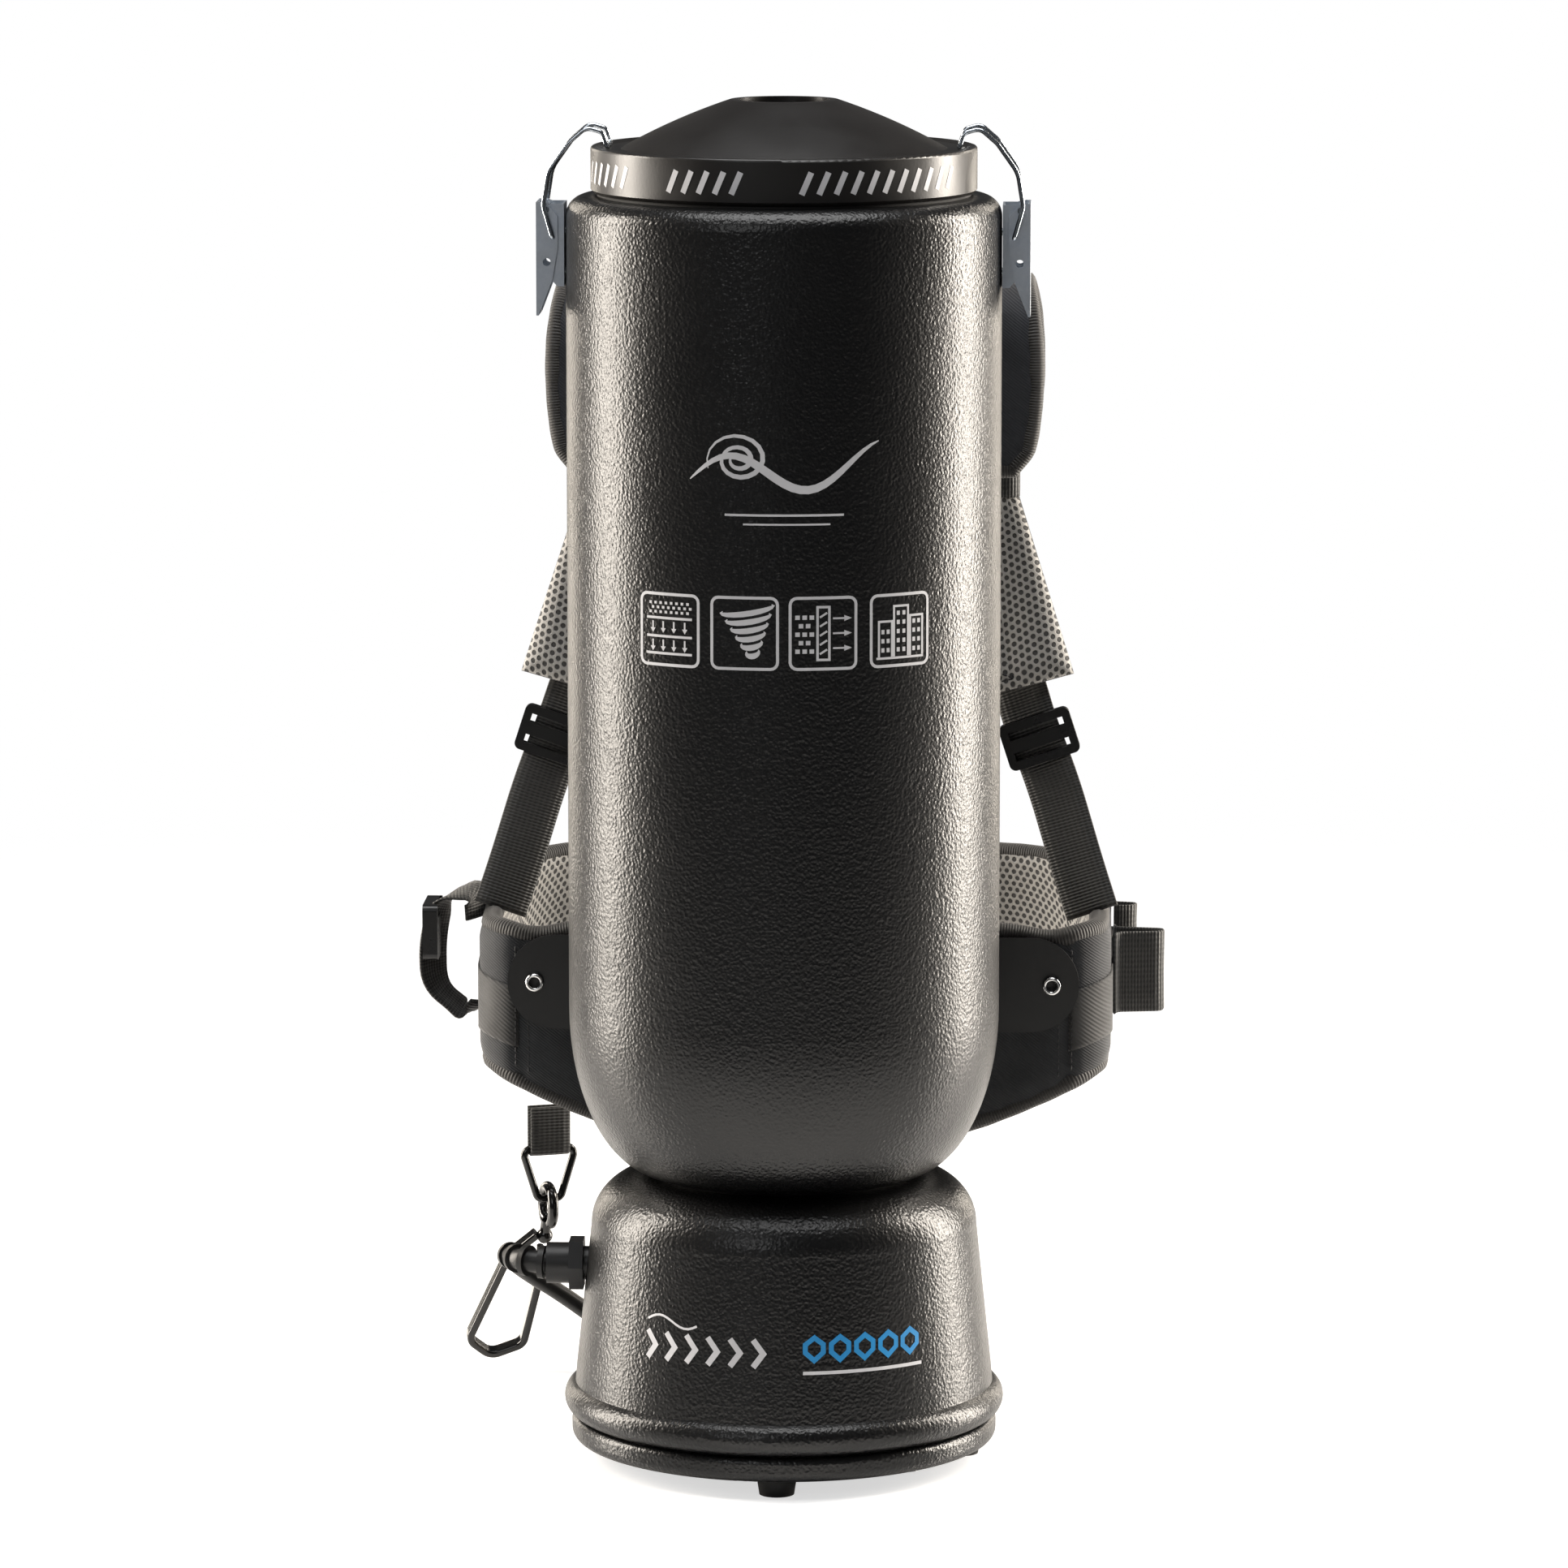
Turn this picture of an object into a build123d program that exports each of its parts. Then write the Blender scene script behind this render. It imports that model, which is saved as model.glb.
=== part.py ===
from build123d import *

import os
from math import atan2, cos, degrees, pi, radians, sin, tan

# Backpack vacuum cleaner: an upright canister on a bell-shaped motor base, with a
# latched lid, a padded harness, a waist belt, a snap hook and a mains pigtail.
# Millimetres, +Z up, floor at z = 0. Every piece is drawn about the canister's own
# upright axis, with -Y the front and +Y the wearer's side, and moved once at the end.

# ---- Canister -------------------------------------------------------------------
BODY_R = 96.3            # outside radius of the straight tube
WALL = 2.6               # moulded wall of the canister and the base
TOP_Z = 568.0            # flat top face around the mouth
SHOULDER_R = 9.0         # rounding between the tube and the top face
BOWL_TOP_Z = 205.0       # where the bowl turns into the straight tube
BOWL_BOTTOM_Z = 130.0    # underside of the bowl
BOWL_FLAT_R = BODY_R - 39.2  # flat part of the bowl's underside
MOUTH_R = BODY_R - 17.3  # opening that the lid plugs
MOUTH_DEPTH = 22.0       # depth of the rolled mouth wall
BAG_LEDGE = 3.0          # ledge inside the mouth that carries the bag collar
INTAKE_R = 27.0          # air hole between the canister and the motor

# ---- Motor base -----------------------------------------------------------------
NECK_GASKET_T = 1.0      # gasket between the base and the bowl
BELL_SHOULDER_R = BODY_R - 9.7  # bell radius where its rounded top begins
BELL_SHOULDER_H = 23.0   # height of the rounded top
BELL_TOP_R = BODY_R - 34.3  # flat top of the bell
BELL_FOOT_R = BODY_R - 3.0  # bell radius just above the bead
BELL_FOOT_Z = 42.0
BEAD_R = BODY_R + 2.6  # widest radius of the rolled bead
BEAD_Z = 27.0
BEAD_H = 14.0
RIM_R = BODY_R - 0.7  # rim of the bottom cover
RIM_Z = 19.2             # top of that rim
PLATE_Z = 8.0            # underside of the bottom cover
PLATE_T = 2.6
COVER_LIP_H = 10.8       # lip that stands up inside the bell
FOOT_TOP_R = 9.0
FOOT_TIP_R = 7.75
FOOT_CIRCLE_R = BODY_R - 16.3
FOOT_STEM_R = 3.0
SCREW_CIRCLE_R = BODY_R - 14.3
SCREW_R = 2.0
SCREW_HEAD_R = 3.8
SCREW_HEAD_T = 2.2
BOSS_R = 5.0

# ---- Motor, fan and filters ------------------------------------------------------
SHAFT_R = 4.0
ARMATURE_R = 23.0
AIR_GAP = 0.6            # armature to stator
STATOR_R = 45.0
STATOR_H = 34.0
CASING_T = 2.0
CASING_BOTTOM_Z = 24.0
CASING_H = 66.0
BEARING_R = 11.0
BEARING_T = 7.0
RUNNING_FIT = 0.03       # shafts and pins in what they turn in
FAN_R = 50.0
FAN_T = 14.0
FAN_BLADES = 9
FAN_COVER_R = 56.0
FAN_EYE_R = 22.0
EXHAUST_FILTER_R = 75.0
EXHAUST_FILTER_T = 10.0
EXHAUST_FILTER_H = 60.0
DOME_R = 44.0            # dome filter over the air hole
DOME_H = 62.0
DOME_T = 3.0
CAGE_GAP = 1.0
BAG_R = BODY_R - 24.3
BAG_BOTTOM_Z = 236.0
BAG_T = 1.5
COLLAR_T = 3.0
COLLAR_HOLE_R = 24.0

# ---- Lid -------------------------------------------------------------------------
LID_R = BODY_R - 11.0  # outside of the lid band
LID_BAND_BOTTOM_Z = TOP_Z + 1.3
LID_CREST_Z = TOP_Z + 21.7  # top of the low rim round the lid
LID_GROOVE_DROP = 1.1    # the bail sits in the groove inside the rim
LID_GROOVE_IN_R = LID_R - 13.3
LID_CONE_R = LID_R - 17.3  # foot of the cone
LID_TOP_Z = TOP_Z + 42.0
LID_T = 2.6
PORT_R = 20.0            # bore for the 40 mm hose cuff
PORT_LIP_R = 24.0
PORT_DEPTH = 28.0
SKIRT_H = 14.0           # plug that reaches down into the mouth
SKIRT_T = 2.4
SKIRT_CLEAR = 0.8

# ---- Latches ---------------------------------------------------------------------
LATCH_PLATE_X = BODY_R + 0.3  # back of the bracket plate
LATCH_T = 1.0            # sheet of the bracket and lever
LEVER_FACE_X = BODY_R + 12.6  # outside of the lever
LEVER_TOP_Z = TOP_Z - 2.8
LEVER_TIP_Z = TOP_Z - 52.8
LEVER_TAPER_Z = TOP_Z - 37.0
LEVER_HALF_W = 11.5
LEVER_SIDE_IN_X = BODY_R + 3.1  # inner edge of the lever's side plates
EAR_GAP = 0.3            # lever side plate to bracket ear
LEVER_PIVOT = (BODY_R + 8.3, TOP_Z - 6.0)
BAIL_PIVOT = (BODY_R + 5.3, TOP_Z - 18.1)
PIN_R = 1.5
EAR_NOSE_R = 2.9         # ear rounding about the lever pivot
BRACKET_TOP_Z = TOP_Z - 3.5
BRACKET_BOTTOM_Z = TOP_Z - 40.0
LOCK_HOLE = (BODY_R + 7.9, TOP_Z - 29.2)
LOCK_HOLE_R = 1.75
RIVET_R = 1.6
RIVET_HEAD_R = 2.9
LATCH_RIVET_Z = (TOP_Z - 16.0, TOP_Z - 33.5)
WIRE_R = 1.0
BAIL_HALF_W = 13.2
BAIL_TOP = (BODY_R - 9.7, TOP_Z + 30.2)
BAIL_TIP = (BODY_R - 18.9, TOP_Z + 21.9)  # ---- Cable gland, pigtail and plug -------------------------------------------------
GLAND_Z = 86.0
GLAND_NUT_AF = 22.0
GLAND_NUT_T = 6.4
GLAND_R = 9.25
GLAND_THREAD_R = 7.6
GLAND_END_X = BODY_R + 10.7
GLAND_CLEAR = 0.1
CORD_R = 4.0
RELIEF_ROOT_R = 7.6
RELIEF_TIP_R = 5.3
RELIEF_FINS = 5
PLUG_L = 38.0
PLUG_W = 27.0
PLUG_H = 20.0
BLADE_L = 17.0
BLADE_PITCH = 12.7

# ---- Switch ------------------------------------------------------------------------
SWITCH_AZIMUTH = 50.0    # degrees from +X towards the wearer's side
SWITCH_Z = 78.0
SWITCH_W = 20.0
SWITCH_H = 28.0
BEZEL_RIM = 3.0
BEZEL_T = 2.4
ROCKER_GAP = 0.4

# ---- Harness -----------------------------------------------------------------------
FRAME_Y = BODY_R + 2.7  # front face of the back frame
FRAME_T = 3.0
FRAME_W = 150.0
FRAME_BOTTOM_Z = 176.0
FRAME_TOP_Z = TOP_Z - 63.0
FRAME_BOLT_Z = (262.0, TOP_Z - 98.0)
FRAME_BOLT_R = 3.0
SPACER_R = 9.0
BELT_HALF_W = 147.0
BELT_PLATE_HALF_L = BELT_HALF_W - 15.0
BELT_PLATE_H = 44.0
BELT_PLATE_Z = 196.0
BELT_PLATE_T = 2.0
BELT_RIVET_X = BELT_HALF_W - 27.6
BELT_RIVET_R = 2.4
BELT_RIVET_HEAD_R = 4.1
BELT_RIVET_HEAD_T = 2.0
SOFT_GAP = 0.3           # soft pieces to their neighbours
BELT_DEPTH_Y = FRAME_Y + 151.0  # far face of the belt, at the buckle
BELT_T = 12.0
BELT_NEAR_CORNER_R = 23.0
BELT_FAR_CORNER_R = 62.0
BELT_TOP_NEAR_Z = 224.0
BELT_TOP_FAR_Z = BELT_TOP_NEAR_Z + 16.0
BELT_LOW_Z = 112.0       # lowest point of the lumbar flap
BELT_SIDE_LOW_Z = BELT_LOW_Z + 46.0
BELT_FAR_LOW_Z = BELT_LOW_Z + 76.0
BUCKLE_HALF_L = 30.0
BUCKLE_H = 46.0
BUCKLE_T = 12.0
BACK_PAD_W = 150.0
BACK_PAD_T = 9.0
BACK_PAD_BOTTOM_Z = 236.0
BACK_PAD_TOP_Z = TOP_Z - 70.0
PAD_T = 10.0
PAD_NEAR_Y = FRAME_Y + 21.0  # middle of the shoulder pad where it leaves the back
PAD_FAR_Y = FRAME_Y + 82.0
PAD_ARCH_Z = TOP_Z - 51.0
PAD_ARCH_R = 27.0
PAD_NEAR_LOW_Z = TOP_Z - 138.0
PAD_JOIN_Z = TOP_Z - 147.0  # where the shoulder pad is sewn to the mesh pad
PAD_INNER_X = 48.0
PAD_WAIST_X = 101.5
PAD_BULGE_X = 115.0
PAD_BULGE_Z = TOP_Z - 92.0
CHEST_LOW = (FRAME_Y + 51.0, TOP_Z - 248.0)
CHEST_TIP = (128.0, TOP_Z - 233.0)
WEB_T = 1.6
WEB_W = 25.0
LOCK_W = 34.0
LOCK_H = 22.0
LOCK_T = 5.0
LOCK_Z = TOP_Z - 257.0
WIDE_WEB_W = 38.0
LOOP_REACH_X = BELT_HALF_W + 24.0
HOOK_TAB_X = -115.0
HOOK_TAB_Y = FRAME_Y + 29.0
HOOK_TAB_LOW_Z = 109.0
RING_WIRE_R = 1.8
RING_W = 26.0
RING_H = 24.0
RING_TIP_W = 11.0
HOOK_WIRE_R = 2.5
HOOK_EYE_R = 9.0
HOOK_L = 82.0
HOOK_LOOP_W = 26.0
HOOK_BAND_W = 7.0
HOOK_BAND_T = 3.6
GATE_WIRE_R = 1.6

# The waist loop reaches behind the canister, so the whole set of pieces is moved
# forward until the middle of the outline stands over the origin.
SETBACK = (BELT_DEPTH_Y - BEAD_R) / 2

pieces = {}


def keep(name, *solids):
    """Store one finished sub-part, moved to the standing origin."""
    moved = [Pos(0, -SETBACK, 0) * solid for solid in solids]
    pieces[name] = moved[0] if len(moved) == 1 else Compound(moved)


def turned(*edges):
    """A solid of revolution about the upright axis from edges drawn as (radius, height)."""
    return revolve(Plane.XZ * make_face(Wire(edges)), Axis.Z)


def run(*points):
    """The straight edges through the points of an open outline."""
    return [Line(a, b) for a, b in zip(points, points[1:])]


def ring(inner, outer, bottom, top):
    """A plain upright ring, or a disc where the inner radius is nothing."""
    section = Circle(outer) - Circle(inner) if inner else Circle(outer)
    return Pos(0, 0, bottom) * extrude(section, top - bottom)


def rod(start, end, radius):
    """A round bar between two points."""
    a, b = Vector(*start), Vector(*end)
    return Solid.make_cylinder(radius, (b - a).length, Plane(origin=a, z_dir=(b - a)))


def wire_bent(path, radius):
    """A round wire swept along a path."""
    return sweep(Plane(origin=path @ 0, z_dir=path % 0) * Circle(radius), path=path)


def mirrored(solid):
    """The same piece on the other side of the object."""
    return solid.mirror(Plane.YZ)


def side_view(points, x_from, x_to):
    """A closed (Y, Z) outline made into a block between two X values."""
    face = make_face(Plane.YZ * Polyline(*points, close=True))
    return Pos(x_from, 0, 0) * extrude(face, x_to - x_from, dir=(1, 0, 0))


def quarter_ellipse(centre, across, up, sign):
    """A quarter ellipse in the (radius, height) outline, from its side to its end."""
    start, end = (0, 90) if sign > 0 else (270, 360)
    return Edge.make_ellipse(across, up, Plane(origin=(*centre, 0)), start, end)


def bell_r(z):
    """Outside radius of the bell's straight flank at a height."""
    top = BELL_TOP_Z - BELL_SHOULDER_H
    return BELL_SHOULDER_R + (top - z) * (BELL_FOOT_R - BELL_SHOULDER_R) / (top - BELL_FOOT_Z)


BELL_TOP_Z = BOWL_BOTTOM_Z - NECK_GASKET_T


# ---- Canister and lid ----------------------------------------------------------------
def canister():
    """Straight tube on a bowl, with a rounded shoulder and a rolled mouth wall."""
    bowl_w, bowl_h = BODY_R - BOWL_FLAT_R, BOWL_TOP_Z - BOWL_BOTTOM_Z
    in_r, mouth_low = BODY_R - WALL, TOP_Z - MOUTH_DEPTH
    in_shoulder = SHOULDER_R - WALL
    outside = [
        *run((INTAKE_R, BOWL_BOTTOM_Z), (BOWL_FLAT_R, BOWL_BOTTOM_Z)),
        quarter_ellipse((BOWL_FLAT_R, BOWL_TOP_Z), bowl_w, bowl_h, -1),
        *run((BODY_R, BOWL_TOP_Z), (BODY_R, TOP_Z - SHOULDER_R)),
        CenterArc((BODY_R - SHOULDER_R, TOP_Z - SHOULDER_R), SHOULDER_R, 0, 90),
    ]
    mouth = run(
        (BODY_R - SHOULDER_R, TOP_Z),
        (MOUTH_R, TOP_Z),
        (MOUTH_R, mouth_low),
        (MOUTH_R - BAG_LEDGE, mouth_low),
        (MOUTH_R - BAG_LEDGE, mouth_low - WALL),
        (MOUTH_R + WALL, mouth_low - WALL),
        (MOUTH_R + WALL, TOP_Z - WALL),
        (BODY_R - SHOULDER_R, TOP_Z - WALL),
    )
    inside = [
        CenterArc((BODY_R - SHOULDER_R, TOP_Z - SHOULDER_R), in_shoulder, 0, 90),
        *run((in_r, TOP_Z - SHOULDER_R), (in_r, BOWL_TOP_Z)),
        quarter_ellipse((BOWL_FLAT_R, BOWL_TOP_Z), bowl_w - WALL, bowl_h - WALL, -1),
        *run(
            (BOWL_FLAT_R, BOWL_BOTTOM_Z + WALL),
            (INTAKE_R, BOWL_BOTTOM_Z + WALL),
            (INTAKE_R, BOWL_BOTTOM_Z),
        ),
    ]
    shell = turned(*outside, *mouth, *inside)
    for z in FRAME_BOLT_Z:
        shell -= rod((0, in_r - 4, z), (0, BODY_R + 4, z), FRAME_BOLT_R)
    for x in (-1, 1):
        for z in LATCH_RIVET_Z:
            shell -= rod((x * (in_r - 4), 0, z), (x * (BODY_R + 4), 0, z), RIVET_R)
    return shell


def lid():
    """Low banded lid that rises in a shallow cone to the hose port."""
    groove_z = LID_CREST_Z - LID_GROOVE_DROP
    skirt_r = MOUTH_R - SKIRT_CLEAR
    skirt_low = TOP_Z - SKIRT_H
    cone_mid = (LID_CONE_R * 0.62, groove_z + (LID_TOP_Z - groove_z) * 0.68)
    under = groove_z - LID_T
    top = [
        *run((LID_R - 1.6, LID_BAND_BOTTOM_Z), (LID_R, LID_BAND_BOTTOM_Z + 1.6)),
        *run((LID_R, LID_BAND_BOTTOM_Z + 1.6), (LID_R, LID_CREST_Z - 1.3)),
        CenterArc((LID_R - 1.3, LID_CREST_Z - 1.3), 1.3, 0, 90),
        *run(
            (LID_R - 1.3, LID_CREST_Z),
            (LID_R - 2.6, LID_CREST_Z),
            (LID_R - 4.6, groove_z),
            (LID_GROOVE_IN_R, groove_z),
        ),
        ThreePointArc((LID_GROOVE_IN_R, groove_z), cone_mid, (PORT_LIP_R, LID_TOP_Z)),
        *run(
            (PORT_LIP_R, LID_TOP_Z),
            (PORT_R, LID_TOP_Z),
            (PORT_R, LID_TOP_Z - PORT_DEPTH),
            (PORT_R + LID_T, LID_TOP_Z - PORT_DEPTH),
            (PORT_R + LID_T, LID_TOP_Z - 4.0),
        ),
        ThreePointArc(
            (PORT_R + LID_T, LID_TOP_Z - 4.0),
            (cone_mid[0] - 0.5, cone_mid[1] - LID_T),
            (LID_GROOVE_IN_R - 1.0, under),
        ),
        *run(
            (LID_GROOVE_IN_R - 1.0, under),
            (skirt_r - SKIRT_T, under),
            (skirt_r - SKIRT_T, skirt_low),
            (skirt_r, skirt_low),
            (skirt_r, under - 1.0),
            (LID_R - LID_T, under - 1.0),
            (LID_R - LID_T, LID_BAND_BOTTOM_Z),
            (LID_R - 1.6, LID_BAND_BOTTOM_Z),
        ),
    ]
    return turned(*top)


keep("canister_shell", canister())
keep("lid_shell", lid())
keep("lid_gasket", ring(MOUTH_R - SKIRT_CLEAR + 0.2, LID_R - LID_T - 0.2, TOP_Z + 0.05, TOP_Z + 5.0))
port_low = LID_TOP_Z - PORT_DEPTH
keep("port_seal", ring(PORT_R + 0.5, PORT_R + LID_T + 1.5, port_low - 5.0, port_low))

# ---- Motor base -----------------------------------------------------------------------
SWITCH_TILT = degrees(atan2(BELL_FOOT_R - BELL_SHOULDER_R, BELL_TOP_Z - BELL_SHOULDER_H - BELL_FOOT_Z))
switch_place = (
    Rot(0, 0, SWITCH_AZIMUTH) * Pos(bell_r(SWITCH_Z), 0, SWITCH_Z) * Rot(0, -SWITCH_TILT, 0)
)


def switch_block(depth_in, depth_out, grow):
    """A block in the switch's place, from inside the wall to outside it."""
    size = (depth_in + depth_out, SWITCH_W + 2 * grow, SWITCH_H + 2 * grow)
    return switch_place * Pos((depth_out - depth_in) / 2, 0, 0) * Box(*size)


def spots(circle_r, first):
    """Four even places round the axis."""
    turns = [radians(first + 90 * i) for i in range(4)]
    return [(circle_r * cos(t), circle_r * sin(t)) for t in turns]


def bell():
    """Bell-shaped motor housing with a rounded top and a rolled bead at its foot."""
    shoulder_z = BELL_TOP_Z - BELL_SHOULDER_H
    bead_top, bead_low = BEAD_Z + BEAD_H / 2, BEAD_Z - BEAD_H / 2
    inner_foot = BELL_FOOT_R - WALL
    shell = turned(
        *run((INTAKE_R, BELL_TOP_Z), (BELL_TOP_R, BELL_TOP_Z)),
        quarter_ellipse((BELL_TOP_R, shoulder_z), BELL_SHOULDER_R - BELL_TOP_R, BELL_SHOULDER_H, 1),
        *run((BELL_SHOULDER_R, shoulder_z), (BELL_FOOT_R, BELL_FOOT_Z), (BELL_FOOT_R + 0.7, bead_top)),
        ThreePointArc((BELL_FOOT_R + 0.7, bead_top), (BEAD_R, BEAD_Z), (BELL_FOOT_R + 0.7, bead_low)),
        *run(
            (BELL_FOOT_R + 0.7, bead_low),
            (inner_foot, bead_low),
            (inner_foot, BELL_FOOT_Z),
            (BELL_SHOULDER_R - WALL, shoulder_z),
        ),
        quarter_ellipse(
            (BELL_TOP_R, shoulder_z), BELL_SHOULDER_R - BELL_TOP_R - WALL, BELL_SHOULDER_H - WALL, 1
        ),
        *run((BELL_TOP_R, BELL_TOP_Z - WALL), (INTAKE_R, BELL_TOP_Z - WALL), (INTAKE_R, BELL_TOP_Z)),
    )
    boss_low = RIM_Z + COVER_LIP_H + 0.5
    for x, y in spots(SCREW_CIRCLE_R, 45):
        rib = Rot(0, 0, degrees(atan2(y, x))) * Pos(SCREW_CIRCLE_R, -2.5, boss_low) * Box(
            inner_foot - SCREW_CIRCLE_R + 1, 5, 14, align=Align.MIN
        )
        shell += Pos(x, y, boss_low) * extrude(Circle(BOSS_R), 14) + rib
        shell -= Pos(x, y, boss_low - 1) * extrude(Circle(SCREW_R), 12)
    shell -= rod((-60, 0, GLAND_Z), (-110, 0, GLAND_Z), GLAND_THREAD_R + GLAND_CLEAR)
    shell -= switch_block(14, 8, 0.2)
    shell -= switch_block(1.2, 8, BEZEL_RIM + 0.2)
    return shell


def cover():
    """Dished bottom cover with exhaust slots and four screw posts."""
    lip_r = BELL_FOOT_R - WALL - 0.3
    lip_top = RIM_Z + COVER_LIP_H
    dish = turned(
        *run((0, PLATE_Z), (RIM_R - 4.6, PLATE_Z)),
        CenterArc((RIM_R - 4.6, PLATE_Z + 4.6), 4.6, -90, 90),
        *run((RIM_R, PLATE_Z + 4.6), (RIM_R, RIM_Z - 3.0)),
        CenterArc((RIM_R - 3.0, RIM_Z - 3.0), 3.0, 0, 90),
        *run(
            (RIM_R - 3.0, RIM_Z),
            (lip_r, RIM_Z),
            (lip_r, lip_top),
            (lip_r - 2.2, lip_top),
            (lip_r - 2.2, PLATE_Z + PLATE_T),
            (0, PLATE_Z + PLATE_T),
            (0, PLATE_Z),
        ),
    )
    for circle_r, count in ((34.0, 10), (50.0, 16), (65.0, 20)):
        for i in range(count):
            slot = Pos(circle_r, 0, PLATE_Z) * extrude(SlotOverall(11, 4.0), PLATE_T * 3, both=True)
            dish -= Rot(0, 0, 360 / count * (i + 0.5)) * slot
    for x, y in spots(SCREW_CIRCLE_R, 45):
        dish += Pos(x, y, PLATE_Z + 1) * extrude(Circle(BOSS_R), lip_top - PLATE_Z - 1)
        dish -= Pos(x, y, PLATE_Z - 1) * extrude(Circle(SCREW_R), lip_top)
    for x, y in spots(FOOT_CIRCLE_R, 0):
        dish -= Pos(x, y, PLATE_Z - 1) * extrude(Circle(FOOT_STEM_R), PLATE_T + 2)
    return dish


def foot():
    """Tapered rubber foot with a snap-in stem."""
    pad = Pos(0, 0, PLATE_Z / 2) * Cone(FOOT_TIP_R, FOOT_TOP_R, PLATE_Z)
    stem = extrude(Circle(FOOT_STEM_R), PLATE_Z + PLATE_T)
    head = Pos(0, 0, PLATE_Z + PLATE_T) * extrude(Circle(FOOT_STEM_R + 1.5), 1.8)
    return pad + stem + head


def cover_screw():
    """Pan-head screw that holds the bottom cover to the bell."""
    head = Pos(0, 0, PLATE_Z - SCREW_HEAD_T) * extrude(Circle(SCREW_HEAD_R), SCREW_HEAD_T)
    head -= Pos(0, 0, PLATE_Z - SCREW_HEAD_T) * Box(1.0, 5.0, 1.6)
    head -= Pos(0, 0, PLATE_Z - SCREW_HEAD_T) * Box(5.0, 1.0, 1.6)
    return head + Pos(0, 0, PLATE_Z) * extrude(Circle(SCREW_R), RIM_Z + COVER_LIP_H)


keep("neck_gasket", ring(INTAKE_R + 2, BOWL_FLAT_R - 1, BELL_TOP_Z, BOWL_BOTTOM_Z))
keep("base_housing", bell())
keep("base_cover", cover())
keep("rubber_feet", *(Pos(x, y, 0) * foot() for x, y in spots(FOOT_CIRCLE_R, 0)))
keep("base_screws", *(Pos(x, y, 0) * cover_screw() for x, y in spots(SCREW_CIRCLE_R, 45)))

# ---- Motor, fan and filters -------------------------------------------------------------
casing_top = CASING_BOTTOM_Z + CASING_H
fan_low = casing_top + 4.0
fan_top = fan_low + FAN_T
stator_mid = CASING_BOTTOM_Z + CASING_H / 2
seat_t = BEARING_T + CASING_T


def motor_casing():
    """Can with a bearing seat at each end and air windows round its side."""
    out_r = STATOR_R + CASING_T
    can = ring(STATOR_R, out_r, CASING_BOTTOM_Z, casing_top)
    ends = ((CASING_BOTTOM_Z, CASING_BOTTOM_Z), (casing_top - seat_t, casing_top - CASING_T))
    for seat_low, plate_low in ends:
        can += ring(BEARING_R, BEARING_R + 3, seat_low, seat_low + seat_t)
        can += ring(SHAFT_R + 2, out_r, plate_low, plate_low + CASING_T)
    for i in range(6):
        window = Pos(33, 0, stator_mid) * Box(12, 14, CASING_H + 4)
        can -= Rot(0, 0, 60 * i) * (window & ring(20, 42, CASING_BOTTOM_Z - 1, casing_top + 1))
    return can


def stator():
    """Laminated ring with two wound poles."""
    low = stator_mid - STATOR_H / 2
    iron = ring(STATOR_R - 12, STATOR_R, low, low + STATOR_H)
    bore = extrude(Circle(ARMATURE_R + AIR_GAP), STATOR_H)
    for side in (-1, 1):
        pole = Pos(side * 30, 0, low + STATOR_H / 2) * Box(20, 30, STATOR_H)
        iron += pole & ring(0, STATOR_R - 6, low, low + STATOR_H)
    return iron - Pos(0, 0, low) * bore


def armature():
    """Shaft with the wound armature and the commutator."""
    shaft = Pos(0, 0, CASING_BOTTOM_Z + 2.2) * extrude(Circle(SHAFT_R), fan_top + 5 - CASING_BOTTOM_Z - 2.2)
    core = ring(0, ARMATURE_R, stator_mid - STATOR_H / 2, stator_mid + STATOR_H / 2)
    for i in range(12):
        slot = Pos(ARMATURE_R, 0, stator_mid) * Box(8, 2.4, STATOR_H + 2)
        core -= Rot(0, 0, 30 * i) * slot
    commutator = ring(0, 11, CASING_BOTTOM_Z + seat_t + 1, stator_mid - STATOR_H / 2)
    return shaft + core + commutator


def impeller():
    """Closed centrifugal fan with backward-curved blades."""
    hub = ring(SHAFT_R, 9, fan_low, fan_top)
    floor = ring(SHAFT_R, FAN_R, fan_low, fan_low + 1.6)
    roof = ring(FAN_EYE_R, FAN_R, fan_top - 1.6, fan_top)
    wheel = hub + floor + roof
    for i in range(FAN_BLADES):
        arc = ThreePointArc((8, 0), (27, 6), (FAN_R - 9, 22))
        blade = Pos(0, 0, fan_low + 0.8) * extrude(trace(arc, 1.4), FAN_T - 1.6)
        wheel += Rot(0, 0, 360 / FAN_BLADES * i) * blade
    return wheel


def fan_cover():
    """Cup over the fan, sealed to the underside of the bell's top."""
    top = BELL_TOP_Z - WALL
    shell = ring(FAN_COVER_R - 1.6, FAN_COVER_R, fan_low, top)
    return shell + ring(INTAKE_R, FAN_COVER_R, fan_top + 2.0, fan_top + 3.6)


def cap(radius, height):
    """A solid round-topped cap standing on the bowl floor over the air hole."""
    low = BOWL_BOTTOM_Z + WALL
    spring_z = low + height - radius
    return turned(
        *run((0, low + height), (0, low), (radius, low), (radius, spring_z)),
        CenterArc((0, spring_z), radius, 0, 90),
    )


def dome(radius, height, thickness):
    """A round-topped shell standing on the bowl floor over the air hole."""
    return cap(radius, height) - cap(radius - thickness, height - thickness)


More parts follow.
